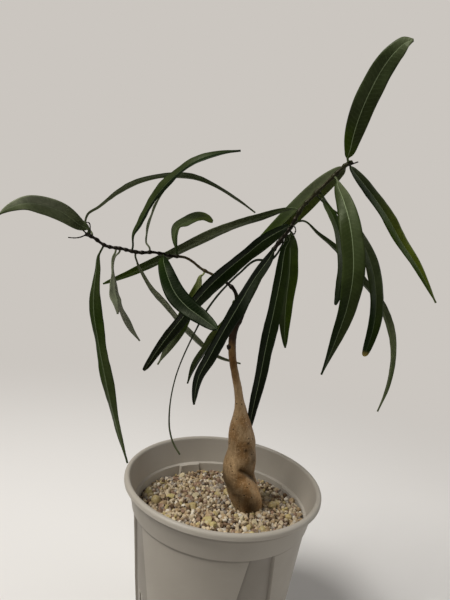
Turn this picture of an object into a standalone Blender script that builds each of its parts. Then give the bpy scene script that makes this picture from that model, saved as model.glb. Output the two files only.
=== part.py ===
"""A young bottle tree in a round slotted pot.

A swollen trunk stands in coarse gravel and forks into two thin branches with long narrow leaves.
All sizes are in millimetres and are turned into metres as each mesh is made. The origin is on the
ground under the middle of the pot, +Z is up, and the front is the side seen when looking along +Y.
"""

import math
from collections import namedtuple

import bmesh
import bpy
import numpy as np
from mathutils import Matrix, Vector
from mathutils.geometry import delaunay_2d_cdt

MM = 0.001
GAP = 0.3                      # clearance between pieces that touch
SMOOTH_ANGLE = math.radians(40)

# Pot: a rolled lip over a tapered collar, and a body with four recessed panels, each with a slit
POT_HEIGHT = 111.5
LIP_RADIUS = 60.0
LIP_WIDTH = 3.4
LIP_DROP = 3.6
LIP_ROUND = 0.6
COLLAR_TOP_RADIUS = 57.3
COLLAR_BASE_RADIUS = 54.0
COLLAR_BASE_Z = 93.3
BODY_TOP_Z = 93.0
BODY_TOP_RADIUS = 53.0
BODY_BASE_RADIUS = 42.8
BODY_MIDDLE_Z = 45.0
FOOT_CHAMFER = 1.2
WALL = 1.5
FLOOR = 2.0
LEDGE_Z = 94.0
LEDGE_OUTER_RADIUS = 52.9
PANEL_COUNT = 4
PANEL_FIRST_ANGLE = 27.0
PANEL_DEPTH = 1.5
PANEL_HALF_ANGLE_TOP = 7.5
PANEL_HALF_ANGLE_BASE = 23.0
PANEL_STEP_ANGLE = 0.9
PANEL_COLUMNS = 4
LAND_COLUMNS = 14
SLIT_WIDTH = 3.0
SLIT_TOP_Z = 44.0
SLIT_INNER_RADIUS = 30.0

# Gravel: its surface lies a little higher at the front and right
GRAVEL_Z = 91.0
GRAVEL_SLOPE_X = 0.035
GRAVEL_SLOPE_Y = -0.055
GRAVEL_EDGE_TOP_Z = 93.5
STONE_SPACING = 5.2
STONE_ROW_PITCH = 0.87         # of the spacing, so that the staggered rows lie evenly
STONE_JITTER = 0.3
STONE_LIFT = (0.3, 1.7)
STONE_TILT = 0.35
STONE_SHARE = (0.62, 0.8)      # how much of its cell a stone's top covers
CREVICE_DEPTH = 1.3
EDGE_MARGIN = 1.0
GRAVEL_SEED = 7
GRAVEL_GAP = 0.4

# Wood: each row is x, y, z and radius
TRUNK = (
    (9.0, 2.0, 104.5, 3.5), (8.6, 2.0, 108.0, 7.5), (8.7, 2.0, 112.5, 8.9), (8.9, 2.0, 118.0, 9.4),
    (9.3, 2.0, 124.0, 8.9), (9.3, 2.0, 129.0, 8.0), (8.8, 2.0, 134.0, 7.8), (7.6, 2.0, 139.0, 7.3),
    (6.6, 2.0, 145.0, 6.0), (5.8, 2.0, 151.0, 4.3), (4.9, 2.0, 156.5, 3.3), (3.8, 2.0, 161.0, 2.8),
    (1.8, 1.5, 168.4, 2.5), (-0.7, 1.0, 176.4, 2.3), (-3.0, 1.0, 184.4, 2.3), (-4.6, 1.0, 194.4, 2.3),
    (-4.6, 0.5, 201.0, 2.2), (-3.0, 0.2, 207.5, 2.0), (-1.3, 0.0, 212.5, 1.5),
)
ROOT = (
    (7.0, 2.0, 120.0, 4.5), (9.2, 1.6, 114.0, 8.2), (11.6, 1.2, 107.0, 9.0), (14.8, 1.0, 100.0, 9.0),
    (18.0, 2.0, 92.0, 8.1), (21.0, 2.0, 82.0, 6.0), (22.5, 2.0, 70.0, 4.0), (24.0, 2.0, 58.0, 2.0),
)
RIGHT_BRANCH = (
    (-2.6, 0.0, 207.0, 1.9), (0.6, -1.0, 219.0, 1.7), (4.4, -2.0, 229.0, 1.5), (8.6, -3.0, 242.0, 1.3),
    (12.0, -4.0, 252.0, 1.1), (16.0, -4.0, 259.0, 1.1), (20.0, -5.0, 266.0, 1.0), (25.0, -6.0, 278.0, 1.0),
    (31.0, -8.0, 286.0, 1.0), (39.0, -10.0, 296.0, 1.0), (45.0, -12.0, 303.0, 0.9),
    (48.0, -12.0, 305.0, 0.8),
)
LEFT_BRANCH = (
    (-2.6, 0.0, 207.0, 1.6), (-4.0, 2.0, 218.0, 1.4), (-7.0, 3.0, 226.0, 1.1), (-14.0, 4.0, 231.0, 0.9),
    (-27.0, 4.0, 236.0, 0.8), (-38.0, 2.0, 242.0, 0.8), (-47.0, 0.0, 242.0, 0.8), (-56.0, -2.0, 243.0, 0.8),
    (-64.0, -3.0, 242.0, 0.9), (-74.0, -5.0, 243.0, 0.8), (-84.0, -7.0, 244.0, 0.8),
    (-89.0, -8.0, 247.0, 0.8), (-94.0, -9.0, 249.0, 0.8),
)
# Old leaf scars, as shares of the branch's length, that swell it as the seats of the leaves do
RIGHT_SCARS = (0.3, 0.37, 0.47, 0.72, 0.83, 0.93)
LEFT_SCARS = (0.2, 0.45, 0.57, 0.71, 0.79, 0.87, 0.94)
SWELLING = 0.35
SWELLING_LENGTH = 0.9
TRUNK_SIDES = 12
BRANCH_SIDES = 8
TRUNK_RING_SPACING = 4.0
BRANCH_RING_SPACING = 2.4

# Short growths, as rows of x, y, z and radius: dry stipules, the end bud and a stub on the trunk
GROWTH_SIDES = 5
GROWTH_RING_SPACING = 1.6
GROWTHS = (
    ((-92.0, -9.5, 248.5, 0.5), (-91.0, -12.5, 252.5, 0.4), (-91.7, -13.5, 255.5, 0.4),
     (-93.5, -13.5, 255.5, 0.4)),
    ((-93.5, -9.0, 249.0, 0.5), (-98.0, -10.0, 246.5, 0.4), (-103.5, -11.0, 246.0, 0.4)),
    ((-93.5, -9.0, 249.0, 0.5), (-97.0, -8.0, 251.5, 0.4)),
    ((43.8, -11.7, 301.8, 0.6), (51.0, -13.5, 305.0, 0.4)),
    ((20.8, -5.5, 268.0, 0.5), (22.8, -8.0, 265.5, 0.4), (22.0, -9.5, 262.5, 0.4),
     (20.3, -9.5, 264.0, 0.4)),
    ((-4.0, 1.0, 193.0, 1.9), (-7.4, 0.2, 191.8, 1.3)),
)

# Leaves: a lofted strip round a midrib that is thicker than the blade
BLADE_THICKNESS = 0.6
RIB_TOP = 0.35
RIB_DEPTH = 0.8
RIB_FULL_WIDTH = 8.0
PETIOLE_HALF_WIDTH = 0.6
PETIOLE_RING_SPACING = 5.0
FOLD_ANGLE = math.radians(13)
BLADE_RINGS = 16
WAVE_COUNT = 3.0
WAVE_LAG = 2.0                 # between the left and the right margin, in radians
SEAT_LENGTH = 1.0
DARK = "leaf_dark"
YOUNG = "leaf_young"

# seat is the share of the branch's length where the leaf grows, petiole its bare length, turn the
# angle of the upper face about the midrib from facing the front, at the base and the tip, belly the
# share of the blade's length where it is widest, taper how slender its base and its tip are, wave the
# height of the margin's ripple, and route the midrib's points
Leaf = namedtuple("Leaf", "name branch seat petiole width turn belly taper wave tone route")
LEAVES = (
    Leaf("leaf_left_tip", "left", 0.995, 3, 10, (14, 6), 0.42, (0.55, 0.85), 0.4, DARK,
         ((-98, -11, 254), (-105, -17, 259), (-113, -23, 261.5), (-120, -29, 261.5), (-126.5, -34, 258),
          (-130.5, -38, 253.5))),
    Leaf("leaf_left_arching", "left", 0.975, 9, 8.5, (-94, -110), 0.5, (0.8, 0.7), 0.5, DARK,
         ((-94.5, -2.5, 252), (-97.5, -1, 256), (-97, 0, 260), (-91, 1.5, 265.5), (-82, 6, 275),
          (-71, 12, 283), (-57, 19, 289), (-42, 26, 291), (-25.5, 32, 287.5), (-11, 36, 281.5),
          (1, 38, 275))),
    Leaf("leaf_left_rising", "left", 0.76, 5, 9.5, (-50, -54), 0.45, (0.75, 0.6), 0.4, DARK,
         ((-68.5, -5, 250.5), (-64.5, -8.5, 258.5), (-57, -13, 272.5), (-47.5, -17, 284.5),
          (-36, -20.5, 294), (-24.5, -22.5, 299), (-13, -24, 301.5))),
    Leaf("leaf_left_upright", "left", 0.67, 6, 5, (-90, -94), 0.45, (0.45, 0.75), 0.4, DARK,
         ((-61.5, 0, 248), (-62, 1.5, 253), (-61.5, 3.5, 259.5), (-60, 6, 267.5), (-58, 8.5, 274.5),
          (-55.5, 11, 280.5))),
    Leaf("leaf_left_curled", "left", 0.53, 2, 9.6, (-40, -42), 0.62, (0.5, 0.32), 0.3, DARK,
         ((-45, 4, 250), (-46, 7, 254), (-46, 11, 258), (-42.5, 18, 262), (-37.5, 28, 266), (-32, 38, 268),
          (-26.5, 46, 267))),
    Leaf("leaf_left_long_hanging", "left", 0.9, 4, 9.2, (-150, -154), 0.42, (0.8, 0.85), 0.9, DARK,
         ((-86, -8, 238.5), (-85.5, -11, 229.5), (-85, -14, 217.5), (-83.5, -16, 206.5), (-79.5, -18, 192),
          (-75, -20, 178), (-70.5, -21, 163.5), (-64.5, -22, 146.5), (-56, -22, 123.5))),
    Leaf("leaf_left_sloping_back", "left", 0.74, 8, 7.4, (-128, -132), 0.45, (0.45, 0.65), 0.4, DARK,
         ((-66, 2, 236), (-59.5, 6, 224), (-49, 12, 211.5), (-33.5, 18, 195.5), (-13, 22, 180.5),
          (3, 24, 177))),
    Leaf("leaf_left_small_front", "left", 0.84, 5, 7.5, (98, 128), 0.66, (1.5, 0.75), 0.4, DARK,
         ((-78, -8, 238), (-77.5, -10, 232.5), (-75.5, -12, 225), (-74, -14, 219.5), (-71.5, -16.5, 214),
          (-70, -19, 207.5))),
    Leaf("leaf_left_small_back", "left", 0.82, 8, 6.6, (94, 112), 0.66, (0.8, 0.75), 0.4, DARK,
         ((-78.5, -1, 238), (-80, 2, 232), (-79.5, 6, 224), (-78, 10, 214.5), (-75.5, 13, 206.5),
          (-71.5, 16, 198.5), (-67.5, 18.5, 191), (-63, 20, 185))),
    Leaf("leaf_left_broad_front", "left", 0.6, 4, 10.2, (-20, -20), 0.5, (0.45, 0.4), 0.3, DARK,
         ((-48.5, -12, 238.5), (-43.5, -23, 230.5), (-37.5, -34, 224), (-30, -44, 219.5), (-21, -53, 216),
          (-14, -60, 213))),
    Leaf("leaf_left_young_hanging", "left", 0.362, 2, 8.4, (152, 156), 0.5, (0.6, 1), 0.5, YOUNG,
         ((-27.6, 3, 232.4), (-28.6, 3, 227), (-31.5, 2, 217.5), (-34.5, 1, 206.5), (-37, 0, 197.5),
          (-41.5, 0, 189), (-47.5, 0, 176.5))),
    Leaf("leaf_left_young_low", "left", 0.12, 3, 7.5, (130, 132), 0.5, (0.45, 0.75), 0.4, YOUNG,
         ((-6, 4.5, 214), (-10, 6, 206), (-16, 7, 196), (-21, 8, 186), (-26, 9, 176), (-29, 10, 164))),
    Leaf("leaf_right_top", "right", 0.98, 3, 11.6, (-5, -14), 0.5, (0.45, 0.3), 1.1, DARK,
         ((44.8, -17, 310), (44.6, -20, 315), (45, -27, 325), (46.6, -34, 334.5), (49.4, -40, 343.5),
          (53, -45, 350), (56.4, -47.6, 353.4), (59.4, -49, 354.4))),
    Leaf("leaf_right_outer", "right", 0.985, 2, 8.6, (-20, -14), 0.38, (0.5, 0.75), 0.4, DARK,
         ((50, -9, 300.5), (59.5, -4, 293.5), (74, 2, 281), (87, 7, 267), (102, 12, 252), (118, 16, 232))),
    Leaf("leaf_right_broad_front", "right", 0.89, 4, 11.6, (42, -38), 0.42, (0.6, 0.7), 0.6, DARK,
         ((41.5, -15, 291), (44, -23, 282.5), (47, -30, 271.5), (49.5, -34, 259.5), (51, -37, 245),
          (50.5, -37, 228.5), (48, -35, 212), (44, -30, 190))),
    Leaf("leaf_right_behind_broad", "right", 0.77, 18, 9.6, (-26, -12), 0.55, (0.45, 0.28), 0.4, DARK,
         ((41, -3, 280), (52, 2, 275), (66, 8, 262), (77, 12, 242), (81.5, 14, 214), (78.5, 14, 193.5))),
    Leaf("leaf_right_far_back", "right", 0.61, 8, 8, (-128, -104), 0.5, (0.8, 0.7), 0.4, DARK,
         ((27, -1, 271), (39, 8, 265), (52, 16, 258), (73.5, 27, 240), (92, 34, 223), (101, 36, 205.5),
          (104.5, 36, 190.5), (103.5, 33, 173), (98, 30, 154))),
    Leaf("leaf_right_short_inner", "right", 0.79, 3, 9.2, (-38, -38), 0.55, (0.45, 0.35), 0.4, DARK,
         ((37, -8, 282), (41, -12, 275.5), (45.5, -14, 266.5), (49, -15, 253.5), (50.5, -14, 241),
          (50.5, -11, 226))),
    Leaf("leaf_right_young_behind", "right", 0.96, 3, 11.5, (-178, -178), 0.4, (0.45, 0.42), 0.4, YOUNG,
         ((41, -8, 298), (34, 1, 290), (27, 7, 281), (20, 11, 272), (12, 14, 262), (3, 16, 251),
          (-5, 16, 242))),
    Leaf("leaf_right_sideways", "right", 0.66, 4, 7.2, (138, 146), 0.5, (0.45, 0.42), 0.4, DARK,
         ((19, -2, 277), (13, 1, 275), (4, 5, 271), (-6, 10, 267), (-26, 18, 256.5), (-57, 23, 237),
          (-74, 25, 227), (-91, 26, 218))),
    Leaf("leaf_right_broad_crossing", "right", 0.57, 4, 11, (-40, -52), 0.38, (0.45, 0.28), 0.4, DARK,
         ((16, -11, 265), (5, -16, 257), (-3, -20, 249), (-12, -24, 240), (-20, -27, 231), (-33, -27, 212),
          (-45, -24, 192), (-52, -21, 178))),
    Leaf("leaf_right_dark_front", "right", 0.43, 4, 10.6, (-42, -44), 0.45, (0.45, 0.5), 0.4, DARK,
         ((10.5, -13, 249.5), (1.5, -26, 235), (-3.5, -34, 225), (-12.5, -40, 205), (-17, -42, 194),
          (-20.5, -42, 185), (-21.5, -41, 169))),
    Leaf("leaf_right_long_hanging", "right", 0.52, 4, 10.5, (-28, -28), 0.4, (0.45, 0.4), 0.4, DARK,
         ((19, -3, 254), (19, 1, 238), (18, 6, 215.5), (16.5, 9, 193.5), (15.5, 12, 173), (14, 15, 152),
          (13, 17, 133))),
    Leaf("leaf_right_short_hanging", "right", 0.55, 4, 11, (-24, -20), 0.35, (0.45, 0.5), 0.4, DARK,
         ((21, 0, 260), (23, 6, 253), (25, 12, 241), (26, 17, 223), (27.5, 20, 206), (30, 21, 191.5))),
    Leaf("leaf_right_threadlike", "right", 0.49, 4, 4, (110, 92), 0.25, (0.45, 0.8), 0.2, DARK,
         ((16, 2.5, 252), (12, 7, 246), (4, 9.5, 245), (-5, 11, 236), (-19, 10, 217), (-29, 8, 194),
          (-37, 7, 165), (-38, 6, 146), (-36.5, 6, 134), (-33.5, 6, 126), (-28.5, 5, 119.5))),
)

Finish = namedtuple("Finish", "color roughness metallic")
FINISHES = {
    "pot": Finish((0.30, 0.275, 0.235), 0.5, 0.0),
    "gravel": Finish((0.52, 0.43, 0.28), 0.9, 0.0),
    "bark": Finish((0.16, 0.09, 0.04), 0.55, 0.0),
    DARK: Finish((0.02, 0.05, 0.015), 0.4, 0.0),
    YOUNG: Finish((0.06, 0.13, 0.02), 0.45, 0.0),
}


def clear_scene():
    for item in list(bpy.data.objects):
        bpy.data.objects.remove(item, do_unlink=True)


def finish_material(name, finish):
    finish = FINISHES[finish]
    material = bpy.data.materials.new(name)
    material.use_nodes = True
    shader = material.node_tree.nodes["Principled BSDF"]
    shader.inputs["Base Color"].default_value = (*finish.color, 1.0)
    shader.inputs["Roughness"].default_value = finish.roughness
    shader.inputs["Metallic"].default_value = finish.metallic
    return material


def add_piece(name, points, faces, finish, origin=(0.0, 0.0, 0.0)):
    """A named object with outward faces from points in millimetres, placed at its origin."""
    mesh = bpy.data.meshes.new(name)
    mesh.from_pydata([(Vector(p) - Vector(origin)) * MM for p in points], [], faces)
    work = bmesh.new()
    work.from_mesh(mesh)
    bmesh.ops.recalc_face_normals(work, faces=work.faces)
    work.to_mesh(mesh)
    work.free()
    mesh.shade_smooth()
    mesh.set_sharp_from_angle(angle=SMOOTH_ANGLE)
    mesh.materials.append(finish_material(name, finish))
    piece = bpy.data.objects.new(name, mesh)
    piece.location = Vector(origin) * MM
    bpy.context.scene.collection.objects.link(piece)
    return piece


def apply_modifiers(piece):
    """Bake the piece's modifiers into its mesh."""
    graph = bpy.context.evaluated_depsgraph_get()
    mesh = bpy.data.meshes.new_from_object(piece.evaluated_get(graph))
    piece.modifiers.clear()
    piece.data = mesh
    mesh.shade_smooth()
    mesh.set_sharp_from_angle(angle=SMOOTH_ANGLE)


def cut_away(piece, cutters):
    """Cut each of the closed cutters from the piece and delete them."""
    for cutter in cutters:
        cut = piece.modifiers.new(cutter.name, "BOOLEAN")
        cut.operation = "DIFFERENCE"
        cut.object = cutter
        cut.solver = "EXACT"
    apply_modifiers(piece)
    for cutter in cutters:
        bpy.data.objects.remove(cutter, do_unlink=True)


def fuse(piece, others):
    """Join the closed others to the piece as one body and delete them."""
    group = bpy.data.collections.new(piece.name + "_parts")
    bpy.context.scene.collection.children.link(group)
    for other in others:
        group.objects.link(other)
    union = piece.modifiers.new("union", "BOOLEAN")
    union.operation = "UNION"
    union.operand_type = "COLLECTION"
    union.collection = group
    union.solver = "EXACT"
    apply_modifiers(piece)
    for other in others:
        bpy.data.objects.remove(other, do_unlink=True)
    bpy.data.collections.remove(group)


def smooth_curve(points, steps_per_span=24):
    """A dense smooth curve through the points, as a cubic through each pair of them."""
    knots = np.array(points, dtype=float)
    length = np.linalg.norm(np.diff(knots[:, :3], axis=0), axis=1)[:, None]
    slope = np.diff(knots, axis=0) / length
    inner = (slope[:-1] * length[1:] + slope[1:] * length[:-1]) / (length[:-1] + length[1:])
    if len(knots) == 2:
        tangent = np.vstack([slope, slope])
    else:
        first = 1.5 * slope[:1] - 0.5 * inner[:1]
        last = 1.5 * slope[-1:] - 0.5 * inner[-1:]
        tangent = np.vstack([first, inner, last])
    share = np.linspace(0.0, 1.0, steps_per_span, endpoint=False)[:, None]
    spans = []
    for i in range(len(knots) - 1):
        start, end = knots[i], knots[i + 1]
        rise, fall = tangent[i] * length[i], tangent[i + 1] * length[i]
        spans.append(start * (1 + 2 * share) * (1 - share) ** 2 + end * share ** 2 * (3 - 2 * share)
                     + rise * share * (1 - share) ** 2 + fall * share ** 2 * (share - 1))
    return np.vstack([*spans, knots[-1:]])


def arc_lengths(curve):
    return np.concatenate([[0.0], np.cumsum(np.linalg.norm(np.diff(curve[:, :3], axis=0), axis=1))])


def sample(curve, places):
    """The curve's values at the given distances along it."""
    lengths = arc_lengths(curve)
    return np.stack([np.interp(places, lengths, column) for column in curve.T], axis=1)


def directions(points):
    ahead = np.gradient(points, axis=0)
    return ahead / np.linalg.norm(ahead, axis=1)[:, None]


def loft(rings, diagonals):
    """Points and triangles of a closed skin over rings of equal count; diagonals says which way each
    strip's quads are split."""
    count = len(rings[0])
    points = [tuple(point) for ring in rings for point in ring]
    faces = []
    for row in range(len(rings) - 1):
        for side in range(count):
            a = row * count + side
            b = row * count + (side + 1) % count
            c, d = b + count, a + count
            if diagonals[side % len(diagonals)]:
                faces += [(a, b, c), (a, c, d)]
            else:
                faces += [(a, b, d), (b, c, d)]
    last = (len(rings) - 1) * count
    faces.append(tuple(range(count - 1, -1, -1)))
    faces.append(tuple(range(last, last + count)))
    return points, faces


def column_angles(z):
    """Angles in degrees of the wall's columns at height z, and whether each is in a panel."""
    share = np.clip(z / BODY_TOP_Z, 0.0, 1.0)
    half = PANEL_HALF_ANGLE_BASE + (PANEL_HALF_ANGLE_TOP - PANEL_HALF_ANGLE_BASE) * share
    pitch = 360.0 / PANEL_COUNT
    angles, recessed = [], []
    for panel in range(PANEL_COUNT):
        middle = PANEL_FIRST_ANGLE + panel * pitch
        angles += list(middle + half * np.linspace(-1.0, 1.0, PANEL_COLUMNS))
        recessed += [True] * PANEL_COLUMNS
        edge = half + PANEL_STEP_ANGLE
        angles += list(middle + np.linspace(edge, pitch - edge, LAND_COLUMNS))
        recessed += [False] * LAND_COLUMNS
    return np.array(angles), np.array(recessed)


def rim_angles():
    """Even angles for the round collar and lip, one for each of the wall's columns."""
    count = PANEL_COUNT * (PANEL_COLUMNS + LAND_COLUMNS)
    step = 360.0 / count
    return PANEL_FIRST_ANGLE + step * (np.arange(count) - (PANEL_COLUMNS - 1) / 2)


def round_ring(radius, z):
    turn = np.radians(rim_angles())
    return np.stack([radius * np.cos(turn), radius * np.sin(turn), np.full(len(turn), z)], axis=1)


def body_ring(z, inset):
    """The body's outline at height z, set in from its outer face by inset."""
    angles, recessed = column_angles(z)
    outer = BODY_BASE_RADIUS + (BODY_TOP_RADIUS - BODY_BASE_RADIUS) * z / BODY_TOP_Z
    radius = outer - inset - np.where(recessed, PANEL_DEPTH, 0.0)
    turn = np.radians(angles)
    return np.stack([radius * np.cos(turn), radius * np.sin(turn), np.full(len(turn), z)], axis=1)


def lip_rings():
    """The rolled lip, from under its outer edge over the top to its inner edge."""
    under = POT_HEIGHT - LIP_DROP
    half = LIP_WIDTH / 2
    middle = LIP_RADIUS - half
    crown = POT_HEIGHT - half
    rings = [round_ring(LIP_RADIUS - LIP_ROUND, under), round_ring(LIP_RADIUS, under + LIP_ROUND)]
    for degrees in (0, 45, 90, 135, 180):
        turn = math.radians(degrees)
        rings.append(round_ring(middle + half * math.cos(turn), crown + half * math.sin(turn)))
    return rings


def make_pot():
    foot = body_ring(FOOT_CHAMFER, FOOT_CHAMFER)
    foot[:, 2] = 0.0
    rings = [foot, body_ring(FOOT_CHAMFER, 0.0), body_ring(BODY_MIDDLE_Z, 0.0), body_ring(BODY_TOP_Z, 0.0)]
    rings.append(round_ring(COLLAR_BASE_RADIUS, COLLAR_BASE_Z))
    rings.append(round_ring(COLLAR_TOP_RADIUS, POT_HEIGHT - LIP_DROP))
    rings += lip_rings()
    rings.append(round_ring(LEDGE_OUTER_RADIUS, COLLAR_BASE_Z + WALL))
    rings.append(body_ring(LEDGE_Z, WALL))
    rings.append(body_ring(BODY_MIDDLE_Z, WALL))
    rings.append(body_ring(FLOOR, WALL))
    pot = add_piece("pot", *loft(rings, (True,)), "pot")
    cut_away(pot, [slit_cutter(panel) for panel in range(PANEL_COUNT)])
    return pot


def slit_cutter(panel):
    """An upright box that cuts a slit in the panel's middle, through the wall and the floor's edge."""
    depth = BODY_TOP_RADIUS - SLIT_INNER_RADIUS
    height = SLIT_TOP_Z + FLOOR
    work = bmesh.new()
    bmesh.ops.create_cube(work, size=1.0)
    bmesh.ops.scale(work, vec=Vector((depth, SLIT_WIDTH, height)) * MM, verts=work.verts)
    middle = Vector((SLIT_INNER_RADIUS + depth / 2, 0.0, SLIT_TOP_Z - height / 2)) * MM
    bmesh.ops.translate(work, vec=middle, verts=work.verts)
    turn = math.radians(PANEL_FIRST_ANGLE + panel * 360.0 / PANEL_COUNT)
    bmesh.ops.rotate(work, cent=(0, 0, 0), matrix=Matrix.Rotation(turn, 3, "Z"), verts=work.verts)
    mesh = bpy.data.meshes.new("slit_cutter")
    work.to_mesh(mesh)
    work.free()
    cutter = bpy.data.objects.new(f"slit_cutter_{panel}", mesh)
    cutter.hide_render = True
    cutter.display_type = "WIRE"
    bpy.context.scene.collection.objects.link(cutter)
    return cutter


def gravel_level(x, y):
    return GRAVEL_Z + GRAVEL_SLOPE_X * x + GRAVEL_SLOPE_Y * y


def stone_centres(rng, reach):
    """Jittered centres on a staggered grid that fills the circle of radius reach."""
    rows = int(reach / (STONE_SPACING * STONE_ROW_PITCH)) + 1
    centres = []
    for row in range(-rows, rows + 1):
        shift = 0.5 * (row % 2)
        for column in range(-rows - 2, rows + 3):
            jitter = rng.uniform(-STONE_JITTER, STONE_JITTER, 2)
            x = (column + shift + jitter[0]) * STONE_SPACING
            y = (row * STONE_ROW_PITCH + jitter[1]) * STONE_SPACING
            if math.hypot(x, y) < reach:
                centres.append((x, y))
    return centres


def cell_corners(centres, reach):
    """For each centre, the corners of the cell of points nearest to it, in order round it."""
    count = int(2 * math.pi * reach / STONE_SPACING)
    outside = reach + 0.5 * STONE_SPACING
    turns = [2 * math.pi * i / count for i in range(count)]
    guards = [(outside * math.cos(turn), outside * math.sin(turn)) for turn in turns]
    sites = [Vector(site) for site in centres + guards]
    triangles = delaunay_2d_cdt(sites, [], [], 0, 1e-6)[2]
    corners = [[] for _ in sites]
    places = []
    for a, b, c in triangles:
        x, y = circle_centre(sites[a], sites[b], sites[c])
        pull = min(1.0, reach / max(math.hypot(x, y), reach))
        places.append((x * pull, y * pull))
        for site in (a, b, c):
            corners[site].append(len(places) - 1)
    for site, around in enumerate(corners):
        origin = sites[site]
        around.sort(key=lambda i: math.atan2(places[i][1] - origin.y, places[i][0] - origin.x))
    return places, corners[:len(centres)]


def circle_centre(a, b, c):
    """The centre of the circle through three points in the plane."""
    twice = 2 * (a.x * (b.y - c.y) + b.x * (c.y - a.y) + c.x * (a.y - b.y))
    x = (a.length_squared * (b.y - c.y) + b.length_squared * (c.y - a.y) + c.length_squared * (a.y - b.y))
    y = (a.length_squared * (c.x - b.x) + b.length_squared * (a.x - c.x) + c.length_squared * (b.x - a.x))
    return x / twice, y / twice


def stone_top(rng, centre, corners):
    """The corners of a flat stone top that is smaller than its cell and tilted its own way."""
    share = rng.uniform(*STONE_SHARE)
    level = gravel_level(*centre) + rng.uniform(*STONE_LIFT)
    tilt = rng.uniform(-STONE_TILT, STONE_TILT, 2)
    offsets = share * (np.array(corners) - centre)
    return [(centre[0] + dx, centre[1] + dy, level + tilt[0] * dx + tilt[1] * dy) for dx, dy in offsets]


def gravel_relief(edge):
    """Points and triangles of the gravel's surface inside the closed edge, and the edge's own points:
    stones with crevices between them."""
    rng = np.random.default_rng(GRAVEL_SEED)
    reach = float(np.hypot(edge[:, 0], edge[:, 1]).min()) - EDGE_MARGIN
    centres = stone_centres(rng, reach - 0.35 * STONE_SPACING)
    places, corners = cell_corners(centres, reach)
    used = sorted({corner for around in corners for corner in around})
    spots = [(*places[i], gravel_level(*places[i]) - CREVICE_DEPTH) for i in used]
    borders = []
    for centre, around in zip(centres, corners):
        borders += closed_border(len(spots), len(around))
        spots += stone_top(rng, centre, [places[i] for i in around])
    first = len(spots)
    borders += closed_border(first, len(edge))
    spots += [tuple(point) for point in edge]
    flat = [Vector(spot[:2]) for spot in spots]
    verts, _, faces, sources, _, _ = delaunay_2d_cdt(flat, borders, [], 1, 1e-5)
    points, loop = [], {}
    for index, (vert, source) in enumerate(zip(verts, sources)):
        height = spots[source[0]][2] if source else gravel_level(vert.x, vert.y)
        points.append((vert.x, vert.y, height))
        for spot in source:
            loop[spot - first] = index
    return points, [tuple(face) for face in faces], [loop[i] for i in range(len(edge))]


def closed_border(first, count):
    """Index pairs round a closed run of points that starts at first."""
    return [(first + i, first + (i + 1) % count) for i in range(count)]


def gravel_edge():
    """The gravel's border against the pot's inner wall."""
    edge = body_ring(GRAVEL_Z, WALL + GRAVEL_GAP)
    height = np.minimum(gravel_level(edge[:, 0], edge[:, 1]) - 0.5 * CREVICE_DEPTH, GRAVEL_EDGE_TOP_Z)
    lower = body_ring(BODY_MIDDLE_Z, WALL + GRAVEL_GAP)
    upper = body_ring(LEDGE_Z, WALL + GRAVEL_GAP)
    share = (height - BODY_MIDDLE_Z) / (LEDGE_Z - BODY_MIDDLE_Z)
    return lower + share[:, None] * (upper - lower)


def make_gravel():
    points, faces, loop = gravel_relief(gravel_edge())
    lower = [body_ring(BODY_MIDDLE_Z, WALL + GRAVEL_GAP), body_ring(FLOOR + GRAVEL_GAP, WALL + GRAVEL_GAP)]
    above = loop
    for ring in lower:
        start = len(points)
        points += [tuple(point) for point in ring]
        below = list(range(start, start + len(ring)))
        for i in range(len(ring)):
            j = (i + 1) % len(ring)
            faces += [(above[i], below[i], below[j]), (above[i], below[j], above[j])]
        above = below
    faces.append(tuple(reversed(above)))
    gravel = add_piece("gravel", points, faces, "gravel")
    cut_away(gravel, [tube("hole_cutter", ROOT, TRUNK_SIDES, TRUNK_RING_SPACING, "gravel", grow=GAP)])
    return gravel


def branch_radius(curve, places, scars):
    """The branch's radius at the places along it, with a swelling at each scar and leaf seat."""
    length = arc_lengths(curve)[-1]
    radius = sample(curve, places)[:, 3]
    for scar in scars:
        radius = radius + SWELLING * np.exp(-((places - scar * length) / SWELLING_LENGTH) ** 2)
    return radius


def tube(name, rows, sides, spacing, finish, scars=(), grow=0.0):
    """A round bar through rows of x, y, z and radius."""
    curve = smooth_curve(rows)
    length = arc_lengths(curve)[-1]
    places = np.linspace(0.0, length, max(3, round(length / spacing) + 1))
    centres = sample(curve, places)[:, :3]
    radius = branch_radius(curve, places, scars) + grow
    along = directions(centres)
    centres[0] -= grow * along[0]
    centres[-1] += grow * along[-1]
    across = np.cross(along, (0.0, 1.0, 0.0))
    across /= np.linalg.norm(across, axis=1)[:, None]
    other = np.cross(along, across)
    rings = []
    for centre, size, u, v in zip(centres, radius, across, other):
        turns = 2 * math.pi * np.arange(sides) / sides
        rings.append(centre + size * (np.cos(turns)[:, None] * u + np.sin(turns)[:, None] * v))
    return add_piece(name, *loft(rings, (True,)), finish)


def branch_scars(branch):
    seats = [leaf.seat for leaf in LEAVES if leaf.branch == branch]
    return (*seats, *(RIGHT_SCARS if branch == "right" else LEFT_SCARS))


def make_wood():
    """The trunk, its root, both branches and their dry stipules, grown as one piece."""
    wood = tube("trunk_and_branches", TRUNK, TRUNK_SIDES, TRUNK_RING_SPACING, "bark")
    parts = [tube("root", ROOT, TRUNK_SIDES, TRUNK_RING_SPACING, "bark")]
    for name, rows in (("right", RIGHT_BRANCH), ("left", LEFT_BRANCH)):
        parts.append(tube(name, rows, BRANCH_SIDES, BRANCH_RING_SPACING, "bark", branch_scars(name)))
    for index, rows in enumerate(GROWTHS):
        parts.append(tube(f"growth_{index}", rows, GROWTH_SIDES, GROWTH_RING_SPACING, "bark"))
    fuse(wood, parts)
    return wood


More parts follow.
